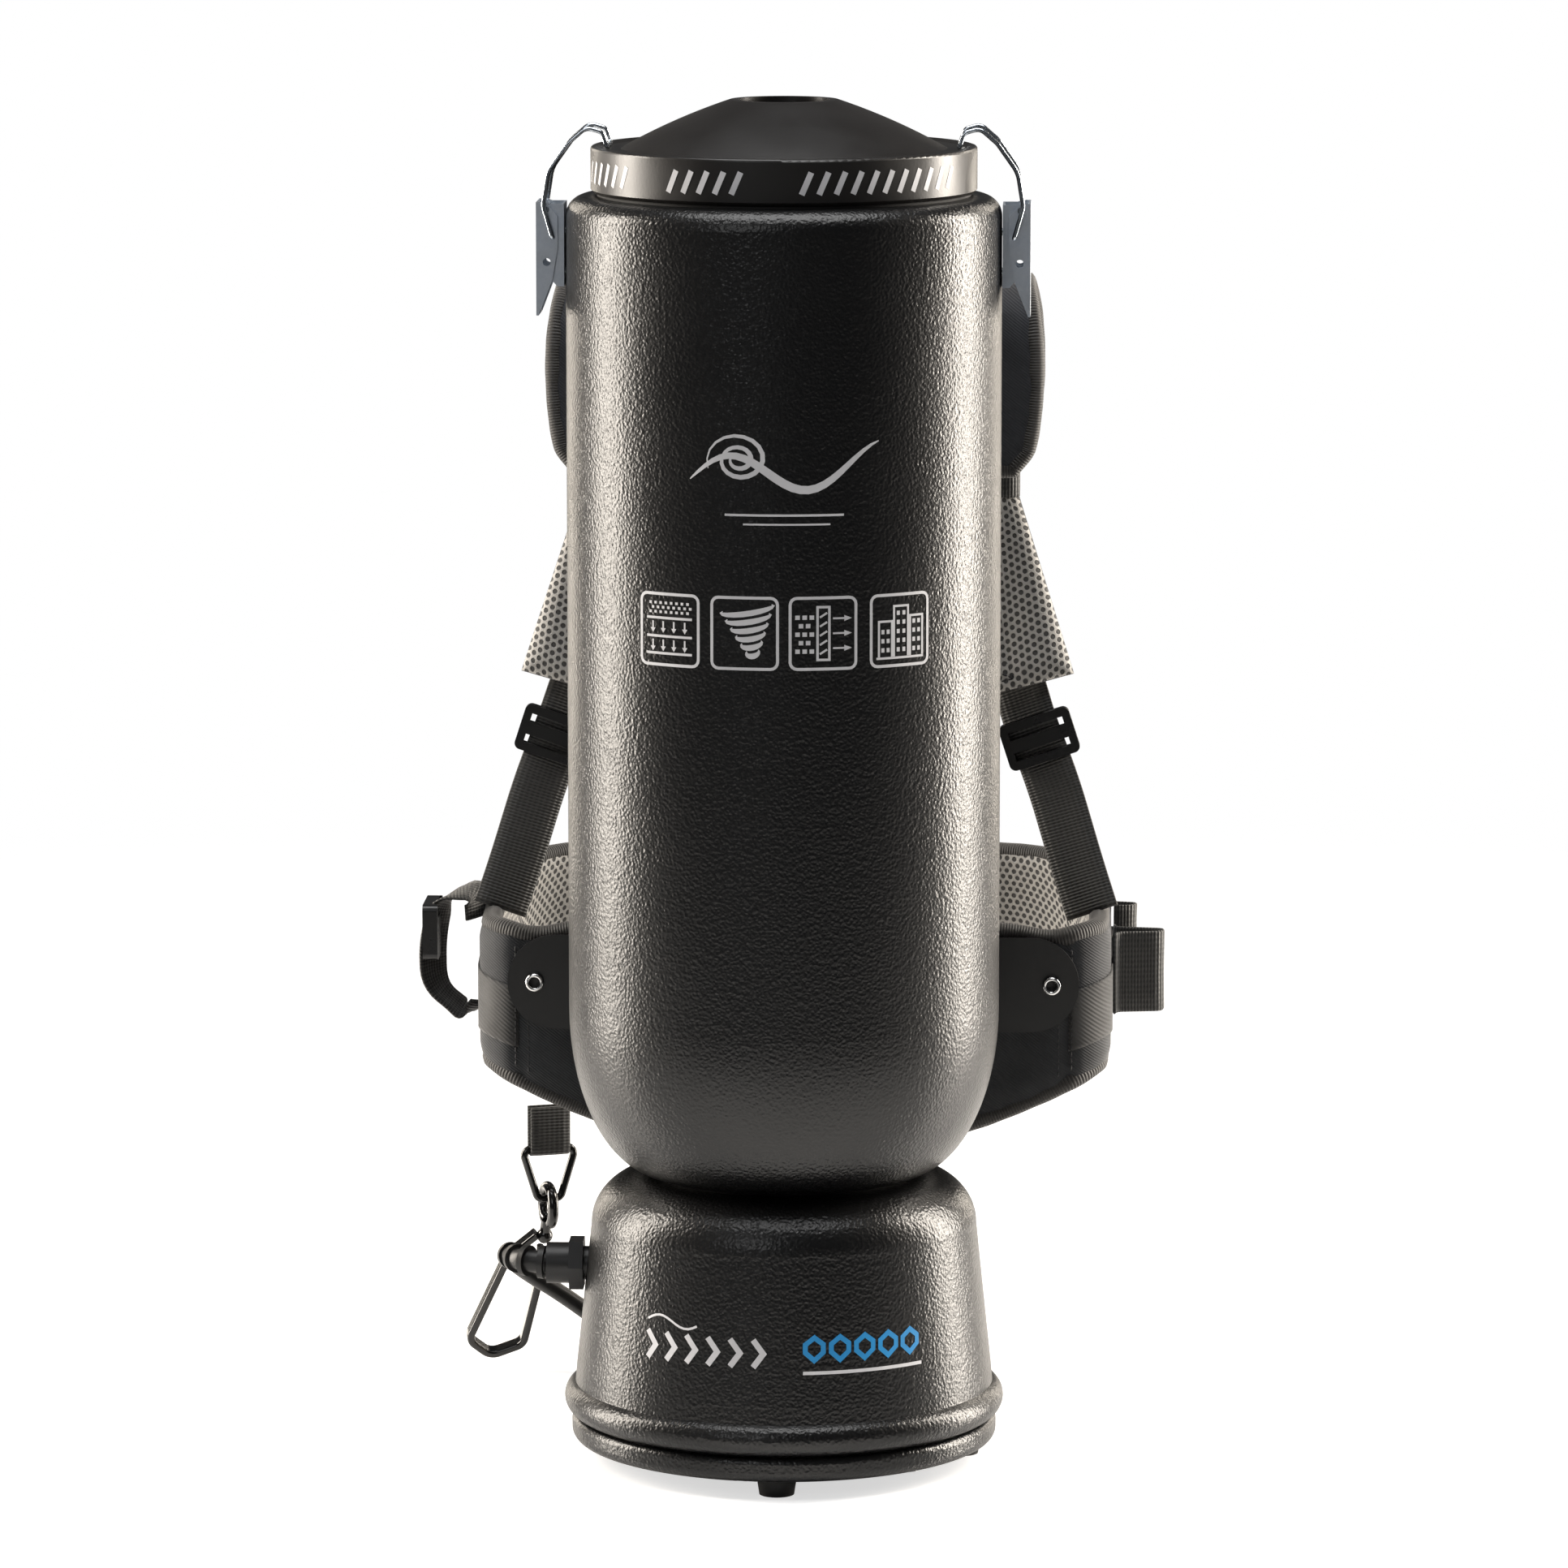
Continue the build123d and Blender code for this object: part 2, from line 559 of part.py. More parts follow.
keep("motor_casing", motor_casing())
keep("motor_stator", stator())
keep("motor_armature", armature())
bearing = ring(SHAFT_R + RUNNING_FIT, BEARING_R, 0, BEARING_T)
bearing_floors = (CASING_BOTTOM_Z + CASING_T, casing_top - seat_t)
keep("motor_bearings", *(Pos(0, 0, z) * bearing for z in bearing_floors))
keep("fan_impeller", impeller())
keep("fan_cover", fan_cover())
keep(
    "exhaust_filter",
    ring(EXHAUST_FILTER_R - EXHAUST_FILTER_T, EXHAUST_FILTER_R, PLATE_Z + PLATE_T, PLATE_Z + EXHAUST_FILTER_H),
)
keep("dome_filter", dome(DOME_R, DOME_H, DOME_T))
cage = dome(DOME_R - DOME_T - CAGE_GAP, DOME_H - DOME_T - CAGE_GAP, 2.0)
for turn in range(0, 180, 45):
    for z in range(4):
        cage -= Pos(0, 0, BOWL_BOTTOM_Z + 12 + 12 * z) * Rot(0, 0, turn) * Box(200, 12, 7)
keep("filter_cage", cage)
mouth_floor = TOP_Z - MOUTH_DEPTH
bag = Pos(0, 0, BAG_BOTTOM_Z) * extrude(Circle(BAG_R), mouth_floor - BAG_BOTTOM_Z)
bag = fillet(bag.edges().group_by(Axis.Z)[0], 26)
bag_inner = Pos(0, 0, BAG_BOTTOM_Z + BAG_T) * extrude(Circle(BAG_R - BAG_T), mouth_floor - BAG_BOTTOM_Z)
bag_inner = fillet(bag_inner.edges().group_by(Axis.Z)[0], 26 - BAG_T)
keep("filter_bag", bag - bag_inner)
keep("bag_collar", ring(COLLAR_HOLE_R, MOUTH_R - 0.5, mouth_floor, mouth_floor + COLLAR_T))

# ---- Latches ----------------------------------------------------------------------------
side_out = LEVER_HALF_W
side_in = LEVER_HALF_W - LATCH_T
ear_out = side_in - EAR_GAP
ear_in = ear_out - LATCH_T


def sheet(outline, y_from, y_to):
    """A sheet of the latch from its (X, Z) outline, between two Y values."""
    face = make_face(Plane.XZ * Polyline(*outline, close=True))
    return Pos(0, y_to, 0) * extrude(face, y_to - y_from, dir=(0, -1, 0))


def both_ears(outline, y_from, y_to):
    """The same sheet on both sides of the latch's middle plane."""
    one = sheet(outline, y_from, y_to)
    return one + one.mirror(Plane.XZ)


def across(spot, radius, reach):
    """A round cutter or pin along Y through a latch."""
    return rod((spot[0], -reach, spot[1]), (spot[0], reach, spot[1]), radius)


def lever():
    """Draw lever: a channel that tapers to a point below its side plates."""
    inner_face = LEVER_FACE_X - LATCH_T
    face = Pos((inner_face + LEVER_FACE_X) / 2, 0, (LEVER_TOP_Z + LEVER_TIP_Z) / 2) * Box(
        LATCH_T, 2 * LEVER_HALF_W, LEVER_TOP_Z - LEVER_TIP_Z
    )
    cheeks = both_ears(
        [
            (LEVER_FACE_X, LEVER_TIP_Z),
            (LEVER_FACE_X, LEVER_TOP_Z),
            (LEVER_PIVOT[0], LEVER_TOP_Z),
            (LEVER_SIDE_IN_X, LEVER_TOP_Z - 6),
            (LEVER_SIDE_IN_X, LEVER_TAPER_Z + 14),
            (LEVER_SIDE_IN_X + 2.4, LEVER_TAPER_Z),
            (LEVER_FACE_X - LATCH_T, LEVER_TIP_Z),
        ],
        side_in,
        side_out,
    )
    body = face + cheeks
    body -= across(LEVER_PIVOT, PIN_R + RUNNING_FIT, 20)
    body -= across(BAIL_PIVOT, WIRE_R + RUNNING_FIT, 20)
    return body - across(LOCK_HOLE, LOCK_HOLE_R, 20)


def bracket():
    """Riveted bracket: a back plate with two ears round the lever pivot."""
    px, pz = LEVER_PIVOT
    plate_out = LATCH_PLATE_X + LATCH_T
    plate = Pos(LATCH_PLATE_X + LATCH_T / 2, 0, (BRACKET_TOP_Z + BRACKET_BOTTOM_Z) / 2) * Box(
        LATCH_T, 2 * ear_out, BRACKET_TOP_Z - BRACKET_BOTTOM_Z
    )
    ears = both_ears(
        [
            (LATCH_PLATE_X, BRACKET_TOP_Z),
            (px - 1.0, pz + EAR_NOSE_R - 0.4),
            (px, pz),
            (px + 0.2, pz - EAR_NOSE_R - 2),
            (px + 2.4, LOCK_HOLE[1] + 3.4),
            (px + 2.4, LOCK_HOLE[1] - 2.6),
            (plate_out + 2, BRACKET_BOTTOM_Z),
            (LATCH_PLATE_X, BRACKET_BOTTOM_Z),
        ],
        ear_in,
        ear_out,
    )
    noses = across(LEVER_PIVOT, EAR_NOSE_R, ear_out) - across(LEVER_PIVOT, EAR_NOSE_R + 1, ear_in)
    body = plate + ears + noses
    body -= across(LEVER_PIVOT, PIN_R, 20)
    body -= across(LOCK_HOLE, LOCK_HOLE_R, 20)
    for z in LATCH_RIVET_Z:
        body -= rod((LATCH_PLATE_X - 5, 0, z), (LATCH_PLATE_X + 5, 0, z), RIVET_R)
    return body


def bail():
    """Double-wire bail, hooked over the lid's rim, with its ends turned in at the lever."""
    (x0, z0), (xt, zt), (xe, ze) = BAIL_PIVOT, BAIL_TOP, BAIL_TIP
    px = LEVER_PIVOT[0]
    end_y = side_in + 0.15 - EAR_GAP + 0.2
    leg = [(x0, z0), (px + 1.0, z0 + 14), (px - 1.4, z0 + 29), (xt + 7.5, zt - 6.5)]
    leg += [(xt, zt), (xe + 2.2, zt - 1.9), (xe, ze)]
    points = [(x0, end_y, z0)] + [(x, BAIL_HALF_W, z) for x, z in leg]
    points += [(x, -BAIL_HALF_W, z) for x, z in reversed(leg)] + [(x0, -end_y, z0)]
    bends = [1.2, 9.0, 14.0, 8.0, 5.0, 3.0, 1.8]
    return wire_bent(FilletPolyline(*points, radius=bends + bends[::-1]), WIRE_R)


def latch_pin():
    """The two stub pins that carry the lever, flush outside its cheeks."""
    x, z = LEVER_PIVOT
    stub = rod((x, ear_in - 0.6, z), (x, side_out + 0.4, z), PIN_R)
    return [stub, stub.mirror(Plane.XZ)]


def latch_rivet(z):
    """Tubular rivet through the bracket and the canister wall."""
    shank = rod((BODY_R - WALL - 1.2, 0, z), (LATCH_PLATE_X + LATCH_T, 0, z), RIVET_R)
    head = rod((LATCH_PLATE_X + LATCH_T, 0, z), (LATCH_PLATE_X + LATCH_T + 1.1, 0, z), RIVET_HEAD_R)
    tail = rod((BODY_R - WALL - 1.6, 0, z), (BODY_R - WALL - 0.4, 0, z), RIVET_HEAD_R)
    return shank + head + tail


right_lever, right_bracket, right_bail = lever(), bracket(), bail()
keep("latch_lever_right", right_lever)
keep("latch_lever_left", mirrored(right_lever))
keep("latch_bracket_right", right_bracket)
keep("latch_bracket_left", mirrored(right_bracket))
keep("latch_bail_right", right_bail)
keep("latch_bail_left", mirrored(right_bail))
pins = latch_pin()
keep("latch_pins", *pins, *(mirrored(pin) for pin in pins))
rivets = [latch_rivet(z) for z in LATCH_RIVET_Z]
keep("latch_rivets", *rivets, *(mirrored(rivet) for rivet in rivets))

# ---- Cable gland, pigtail and plug ---------------------------------------------------------
nut_in = bell_r(GLAND_Z - GLAND_NUT_AF / 2) + 0.4
nut_out = nut_in + GLAND_NUT_T
left_facing = Plane(origin=(0, 0, GLAND_Z), x_dir=(0, 1, 0), z_dir=(-1, 0, 0))


def gland_disc(radius, x_from, x_to):
    """A disc on the gland's axis, measured outwards from the canister axis."""
    return left_facing * Pos(0, 0, x_from) * extrude(Circle(radius), x_to - x_from)


hexagon = RegularPolygon(GLAND_NUT_AF / 2, 6, major_radius=False)
nut = left_facing * Pos(0, 0, nut_in) * extrude(hexagon, GLAND_NUT_T)
keep("gland_nut", nut - gland_disc(GLAND_THREAD_R, nut_in - 1, nut_out + 1))
back_nut_out = bell_r(GLAND_Z) - WALL - 2.2
gland = gland_disc(GLAND_THREAD_R, back_nut_out - 4, nut_out) + gland_disc(GLAND_R, nut_out, GLAND_END_X)
gland += gland_disc(GLAND_R + 1.5, back_nut_out - 4, back_nut_out)
keep("gland_body", gland - gland_disc(CORD_R, back_nut_out - 5, GLAND_END_X + 1))

relief_path = FilletPolyline(
    (-GLAND_END_X, 0, GLAND_Z),
    (-GLAND_END_X - 11, 1.5, GLAND_Z + 0.5),
    (-GLAND_END_X - 18, 15, GLAND_Z),
    (-GLAND_END_X - 19, 26, GLAND_Z - 3),
    radius=[11.0, 12.0],
)
relief = wire_bent(relief_path, CORD_R + 1.0)
for i in range(RELIEF_FINS):
    share = 0.06 + 0.8 * i / (RELIEF_FINS - 1)
    fin_r = RELIEF_ROOT_R + (RELIEF_TIP_R - RELIEF_ROOT_R) * share
    spot = Plane(origin=relief_path @ share, z_dir=relief_path % share)
    relief += spot * Pos(0, 0, -1.3) * extrude(Circle(fin_r), 2.6)
keep("strain_relief", relief & (Pos(-GLAND_END_X - 50, 0, GLAND_Z) * Box(100, 100, 60)))

exit_way = relief_path % 1
exit_spot = relief_path @ 1
cord_route = [
    (exit_spot.X, exit_spot.Y, exit_spot.Z),
    (-GLAND_END_X - 20.5, FRAME_Y - 56.5, 78.5),
    (-GLAND_END_X - 13.5, FRAME_Y - 43, 69),
    (-GLAND_END_X + 2, FRAME_Y - 33, 57),
    (-GLAND_END_X + 23, FRAME_Y - 23, 39),
    (-GLAND_END_X + 45, FRAME_Y - 10, 19),
    (-38, FRAME_Y + 4, 6),
    (-2, FRAME_Y + 19, CORD_R + 0.1),
    (34, FRAME_Y + 32, CORD_R + 0.1),
    (64, FRAME_Y + 53, CORD_R + 0.1),
    (74, FRAME_Y + 88, CORD_R + 0.1),
    (62, FRAME_Y + 122, CORD_R + 0.1),
    (30, FRAME_Y + 141, CORD_R + 0.1),
    (-7, FRAME_Y + 143, CORD_R + 0.1),
    (-41, FRAME_Y + 129, CORD_R + 0.1),
    (-64, FRAME_Y + 101, PLUG_H / 2),
    (-72, FRAME_Y + 69, PLUG_H / 2),
]


def bend_radii(route):
    """For each corner, the largest arc that its two runs allow."""
    points = [Vector(*p) for p in route]
    radii = []
    for a, b, c in zip(points, points[1:], points[2:]):
        turn = (b - a).get_angle(c - b)
        radii.append(0.45 * min((b - a).length, (c - b).length) / tan(radians(turn / 2)))
    return radii


cord_radii = bend_radii(cord_route)
cord_path = FilletPolyline(*cord_route, radius=cord_radii)
cord = wire_bent(cord_path, CORD_R)
print("cord bend radii, mm:", [round(r, 1) for r in cord_radii])
print("cord length, mm:", round(cord_path.length, 1))
print("cord volume to section times length:", round(cord.volume / (pi * CORD_R**2 * cord_path.length), 4))
keep("power_cord", cord)

cord_end = cord_path % 1
plug_way = Vector(cord_end.X, cord_end.Y, 0)
plug_place = Plane(origin=cord_path @ 1, x_dir=plug_way.cross(Vector(0, 0, 1)), z_dir=plug_way)
plug_body = plug_place * extrude(RectangleRounded(PLUG_W, PLUG_H - 0.2, 7), PLUG_L)
keep("plug_body", plug_body)
blade = extrude(Rectangle(1.5, 6.4), BLADE_L)
blades = [Pos(s * BLADE_PITCH / 2, 1.5, PLUG_L) * blade for s in (-1, 1)]
blades.append(Pos(0, -5.5, PLUG_L) * extrude(Circle(2.4), BLADE_L + 2))
keep("plug_blades", *(plug_place * b for b in blades))

# ---- Switch ---------------------------------------------------------------------------------
bezel = switch_block(12, 0, 0) + switch_block(1.0, BEZEL_T - 1.0, BEZEL_RIM)
bezel -= switch_block(11, 8, -1.5)
rocker_w, rocker_h = SWITCH_W - 3 - 2 * ROCKER_GAP, SWITCH_H - 3 - 2 * ROCKER_GAP - 1.6
keep("switch_bezel", bezel)
rocker = extrude(
    make_face(
        Plane.XZ
        * Polyline(
            (-6, 0), (-2, rocker_h / 2), (2.9, rocker_h / 2), (1.9, 0), (2.2, -rocker_h / 2), (-2, -rocker_h / 2),
            close=True,
        )
    ),
    rocker_w / 2,
    both=True,
)
keep("switch_rocker", switch_place * rocker)

# ---- Back frame and belt plate -----------------------------------------------------------------
frame_back = FRAME_Y + FRAME_T
plate_back = frame_back + BELT_PLATE_T
belt_near = plate_back + SOFT_GAP


def back_plane(y):
    """A drawing plane at a depth, X to the right and Z up, extruding to the wearer's side."""
    return Plane(origin=(0, y, 0), x_dir=(-1, 0, 0), z_dir=(0, 1, 0))


def back_frame():
    """Moulded back plate with two spacers that seat on the canister."""
    frame_h = FRAME_TOP_Z - FRAME_BOTTOM_Z
    outline = Pos(0, (FRAME_TOP_Z + FRAME_BOTTOM_Z) / 2) * RectangleRounded(FRAME_W, frame_h, 28)
    plate = back_plane(FRAME_Y) * extrude(outline, FRAME_T)
    for z in FRAME_BOLT_Z:
        seat = rod((0, BODY_R - 6, z), (0, FRAME_Y + 1, z), SPACER_R)
        plate += seat - ring(0, BODY_R + 0.05, z - 20, z + 20)
        plate -= rod((0, 60, z), (0, FRAME_Y + 20, z), FRAME_BOLT_R)
    return plate


def frame_bolt(z):
    """Hex-socket bolt through the frame and its spacer, with a nut inside the canister."""
    shank = rod((0, BODY_R - WALL - 8, z), (0, frame_back, z), FRAME_BOLT_R)
    head = rod((0, frame_back, z), (0, frame_back + 1.8, z), 5.5)
    nut_y = BODY_R - WALL - 6.5
    inner_nut = rod((0, nut_y, z), (0, nut_y + 5.0, z), 6.0)
    return shank + head + inner_nut


def belt_plate():
    """Steel strip with round ends that carries the waist belt."""
    strip = back_plane(frame_back) * extrude(
        Pos(0, BELT_PLATE_Z) * SlotOverall(2 * BELT_PLATE_HALF_L, BELT_PLATE_H), BELT_PLATE_T
    )
    for x in (-BELT_RIVET_X, BELT_RIVET_X):
        strip -= rod((x, FRAME_Y - 9, BELT_PLATE_Z), (x, FRAME_Y + 31, BELT_PLATE_Z), BELT_RIVET_R)
    return strip


def belt_rivet(x):
    """Rivet with a ringed head in front of the belt plate and a washer inside the belt."""
    front = frame_back - BELT_RIVET_HEAD_T
    shank = rod((x, frame_back, BELT_PLATE_Z), (x, belt_near + BELT_T + 1.2, BELT_PLATE_Z), BELT_RIVET_R)
    head = rod((x, front, BELT_PLATE_Z), (x, frame_back, BELT_PLATE_Z), BELT_RIVET_HEAD_R)
    tail = rod(
        (x, belt_near + BELT_T + SOFT_GAP, BELT_PLATE_Z), (x, belt_near + BELT_T + 1.4, BELT_PLATE_Z), BELT_RIVET_HEAD_R
    )
    return shank + head + tail


def belt_ring(near, half_w, far, near_r, far_r):
    """The plan outline of the waist loop as a closed face."""
    corners = [(-half_w, near), (half_w, near), (half_w, far), (-half_w, far)]
    path = FilletPolyline(*corners, close=True, radius=[near_r, near_r, far_r, far_r])
    return make_face(path)


def waist_belt():
    """Padded waist loop: deep behind the back, shallow at the sides, open at the buckle."""
    outer = belt_ring(belt_near, BELT_HALF_W, BELT_DEPTH_Y, BELT_NEAR_CORNER_R, BELT_FAR_CORNER_R)
    inner = belt_ring(
        belt_near + BELT_T,
        BELT_HALF_W - BELT_T,
        BELT_DEPTH_Y - BELT_T,
        BELT_NEAR_CORNER_R - BELT_T,
        BELT_FAR_CORNER_R - BELT_T,
    )
    loop = extrude(outer - inner, BELT_TOP_FAR_Z + 10)
    mid_y = (belt_near + BELT_DEPTH_Y) / 2
    side = side_view(
        [
            (belt_near - 5, BELT_LOW_Z - 5),
            (belt_near + BELT_T + 24, BELT_LOW_Z - 5),
            (BELT_DEPTH_Y + 5, BELT_FAR_LOW_Z),
            (BELT_DEPTH_Y + 5, BELT_TOP_FAR_Z),
            (mid_y, (BELT_TOP_NEAR_Z + BELT_TOP_FAR_Z) / 2 - 3),
            (belt_near + BELT_T + 10, BELT_TOP_NEAR_Z),
            (belt_near - 5, BELT_TOP_NEAR_Z),
        ],
        -200,
        200,
    )
    reach = BELT_HALF_W + 4
    low_arc = ThreePointArc((-reach, BELT_SIDE_LOW_Z), (0, BELT_LOW_Z), (reach, BELT_SIDE_LOW_Z))
    front = make_face(
        Plane.XZ
        * Wire(
            [
                low_arc,
                *run(
                    (reach, BELT_SIDE_LOW_Z),
                    (reach, BELT_TOP_FAR_Z + 20),
                    (-reach, BELT_TOP_FAR_Z + 20),
                    (-reach, BELT_SIDE_LOW_Z),
                ),
            ]
        )
    )
    loop = loop & side & extrude(front, 400, dir=(0, 1, 0))
    loop -= Pos(0, BELT_DEPTH_Y, 200) * Box(2 * BUCKLE_HALF_L + 0.6, 60, 200)
    for x in (-BELT_RIVET_X, BELT_RIVET_X):
        loop -= rod((x, FRAME_Y - 9, BELT_PLATE_Z), (x, FRAME_Y + 31, BELT_PLATE_Z), BELT_RIVET_R + 0.1)
    return loop


keep("back_frame", back_frame())
keep("frame_bolts", *(frame_bolt(z) for z in FRAME_BOLT_Z))
keep("belt_plate", belt_plate())
keep("belt_rivets", *(belt_rivet(x) for x in (-BELT_RIVET_X, BELT_RIVET_X)))
keep("waist_belt", waist_belt())

# ---- Buckle ----------------------------------------------------------------------------------
buckle_z = (BELT_TOP_FAR_Z + BELT_FAR_LOW_Z) / 2
buckle_mid_y = BELT_DEPTH_Y - BELT_T / 2


def buckle_block(x_from, x_to, height, thickness):
    """A block of the buckle between two X values."""
    return Pos((x_from + x_to) / 2, buckle_mid_y, buckle_z) * Box(x_to - x_from, thickness, height)


socket = buckle_block(-BUCKLE_HALF_L, 10, BUCKLE_H - 4, BUCKLE_T)
socket = fillet(socket.edges().filter_by(Axis.Y), 4)
socket -= buckle_block(-12, 11, BUCKLE_H - 12, BUCKLE_T - 5)
socket -= buckle_block(-10, 2, BUCKLE_H + 4, BUCKLE_T - 6)
keep("buckle_socket", socket)
tongue = fillet(buckle_block(10.4, BUCKLE_HALF_L, BUCKLE_H - 4, BUCKLE_T).edges().filter_by(Axis.Y), 4)
for side in (-1, 1):
    prong = Pos(0, 0, side * 12) * buckle_block(-9, 11, 5, BUCKLE_T - 6)
    tongue += prong
tongue += buckle_block(-4, 11, 6, BUCKLE_T - 6)
keep("buckle_tongue", tongue)

# ---- Back pad, shoulder pads and mesh pads -------------------------------------------------------
pad_near = frame_back + 1.8 + SOFT_GAP
pad_outline = Pos(0, (BACK_PAD_TOP_Z + BACK_PAD_BOTTOM_Z) / 2) * RectangleRounded(
    BACK_PAD_W, BACK_PAD_TOP_Z - BACK_PAD_BOTTOM_Z, 30
)
back_pad = back_plane(pad_near) * extrude(pad_outline, BACK_PAD_T)
keep("back_pad", fillet(back_pad.faces().sort_by(Axis.Y)[-1].edges(), 3))


def front_view(edges):
    """A closed (X, Z) outline made into a block right through the harness."""
    return extrude(make_face(Plane.XZ * Wire(edges)), 400, dir=(0, 1, 0))


def shoulder_pad():
    """Padded arch over the shoulder, bulging outwards in front view."""
    arch = FilletPolyline(
        (PAD_NEAR_Y, PAD_NEAR_LOW_Z),
        (PAD_NEAR_Y, PAD_ARCH_Z),
        (PAD_FAR_Y, PAD_ARCH_Z),
        (PAD_FAR_Y - 3.5, PAD_JOIN_Z),
        radius=PAD_ARCH_R,
    )
    side = extrude(Plane.YZ * trace(arch, PAD_T), 200, dir=(1, 0, 0))
    top = PAD_ARCH_Z + 14
    waist = (PAD_WAIST_X, PAD_NEAR_LOW_Z + 4)
    outline = [
        *run((PAD_INNER_X, top), (PAD_INNER_X, PAD_JOIN_Z), (PAD_WAIST_X, PAD_JOIN_Z), waist),
        ThreePointArc(waist, (PAD_BULGE_X, PAD_BULGE_Z), (PAD_WAIST_X - 8, top)),
        *run((PAD_WAIST_X - 8, top), (PAD_INNER_X, top)),
    ]
    return side & front_view(outline)


def chest_pad():
    """Mesh-faced pad that hangs from the shoulder pad down to the ladder lock."""
    half = PAD_T / 2
    low_y, low_z = CHEST_LOW
    join_y = PAD_FAR_Y - 3.5
    side = side_view(
        [
            (join_y - half, PAD_JOIN_Z - SOFT_GAP),
            (join_y + half, PAD_JOIN_Z - SOFT_GAP),
            (low_y + half, low_z - 4),
            (low_y - half, low_z - 4),
        ],
        0,
        200,
    )
    outline = run(
        (PAD_INNER_X + 4, PAD_JOIN_Z + 5),
        (PAD_WAIST_X - 1.5, PAD_JOIN_Z + 5),
        CHEST_TIP,
        (CHEST_TIP[0] - 54, low_z - 4),
        (CHEST_TIP[0] - 66, low_z + 8),
        (PAD_INNER_X + 4, PAD_JOIN_Z + 5),
    )
    return side & front_view(outline)


def web_strap(corners, path):
    """Flat webbing: its front-view outline cut from a thin folded sheet."""
    strip = extrude(Plane.YZ * trace(path, WEB_T), 400, dir=(1, 0, 0))
    return strip & front_view(run(*corners, corners[0]))


web_top_x, web_low_x, web_low_z = 109.0, 137.0, BELT_TOP_NEAR_Z + 5.5
web_top_z = CHEST_LOW[1] - 4 - SOFT_GAP
web_lean = degrees(atan2(web_low_x - web_top_x, web_top_z - web_low_z))


def strap_webbing():
    """25 mm webbing from the ladder lock down to the belt's side."""
    half = WEB_W / 2 - 1.5
    web_y = CHEST_LOW[0]
    web_line = FilletPolyline(
        (web_y, LOCK_Z + 19), (web_y, LOCK_Z - 24), (web_y - 16, BELT_TOP_NEAR_Z - 9), radius=60
    )
    corners = [
        (web_top_x - half, web_top_z),
        (web_top_x + half, web_top_z),
        (web_low_x + half - 1, web_low_z),
        (web_low_x - half + 1, web_low_z),
    ]
    return web_strap(corners, web_line)


def ladder_lock():
    """Three-bar slide with a slot for the webbing."""
    block = fillet(Box(LOCK_W, LOCK_T, LOCK_H).edges().filter_by(Axis.Y), 3)
    slot_w = WEB_W + 1.5
    for z in (-5, 5):
        block -= Pos(0, 0, z) * Box(slot_w, LOCK_T * 3, 4)
    block -= Box(slot_w, WEB_T + 1.4, LOCK_H * 2)
    middle_z = LOCK_Z - 7
    middle_x = web_top_x + (web_top_z - middle_z) * tan(radians(web_lean))
    return Pos(middle_x, CHEST_LOW[0], middle_z) * Rot(0, -web_lean, 0) * block


for name, make in (
    ("shoulder_pad", shoulder_pad),
    ("chest_pad", chest_pad),
    ("strap_webbing", strap_webbing),
    ("ladder_lock", ladder_lock),
):
    piece = make()
    keep(name + "_right", piece)
    keep(name + "_left", mirrored(piece))

# ---- Loose webbing at the belt's sides -----------------------------------------------------------
side_x = BELT_HALF_W + SOFT_GAP + WEB_T / 2
tail_path = FilletPolyline(
    (-side_x, BELT_TOP_NEAR_Z - 2),
    (-side_x - 1, BELT_TOP_NEAR_Z + 9),
    (-LOOP_REACH_X + 5, BELT_TOP_NEAR_Z + 5),
    (-LOOP_REACH_X, BELT_TOP_NEAR_Z - 16),
    (-LOOP_REACH_X + 1, BELT_TOP_NEAR_Z - 38),
    (-side_x - 6, BELT_TOP_NEAR_Z - 52),
    (-side_x, BELT_TOP_NEAR_Z - 46),
    radius=[4.0, 8.0, 24.0, 10.0, 3.5],
)
tail_y = FRAME_Y + 32
tail = Plane.XZ * trace(tail_path, WEB_T)
keep("tail_strap", Pos(0, tail_y, 0) * extrude(tail, WEB_W, dir=(0, 1, 0)))
adjuster = Pos(-LOOP_REACH_X + 1, tail_y + WEB_W / 2, BELT_TOP_NEAR_Z - 10) * Box(7, WEB_W + 7, 26)
adjuster = fillet(adjuster.edges().filter_by(Axis.X), 3)
path_gap = Plane.XZ * trace(tail_path, WEB_T + 1.2)
keep("tail_adjuster", adjuster - Pos(0, tail_y - 0.5, 0) * extrude(path_gap, WEB_W + 1, dir=(0, 1, 0)))

loop_y = FRAME_Y + 35
wide_loop = trace(
    FilletPolyline(
        (side_x, loop_y),
        (side_x + 1.5, loop_y + 6),
        (LOOP_REACH_X - 1, loop_y + 9),
        (LOOP_REACH_X, loop_y + 16),
        (side_x + 1, loop_y + 19),
        (side_x, loop_y + 25),
        radius=[2.5, 3.0, 3.0, 2.5],
    ),
    WEB_T,
)
small_loop = trace(
    FilletPolyline(
        (side_x, loop_y + 32), (side_x + 9, loop_y + 34), (side_x + 10, loop_y + 40), (side_x, loop_y + 42), radius=2.6
    ),
    WEB_T,
)
keep(
    "webbing_loops",
    Pos(0, 0, 177) * extrude(wide_loop, WIDE_WEB_W),
    Pos(0, 0, 205) * extrude(small_loop, WEB_W - 7),
)

# ---- Snap hook -------------------------------------------------------------------------------------
# The ring hangs in the tab, and the hook hangs in the ring; both planes stand at 45 degrees
# to the front, so that each wire passes square through the other's opening.
tab_eye_z = HOOK_TAB_LOW_Z + 3.6
ring_frame = Plane(origin=(HOOK_TAB_X, HOOK_TAB_Y, tab_eye_z), x_dir=(1, 0.35, 0), z_dir=(0.35, -1, 0))


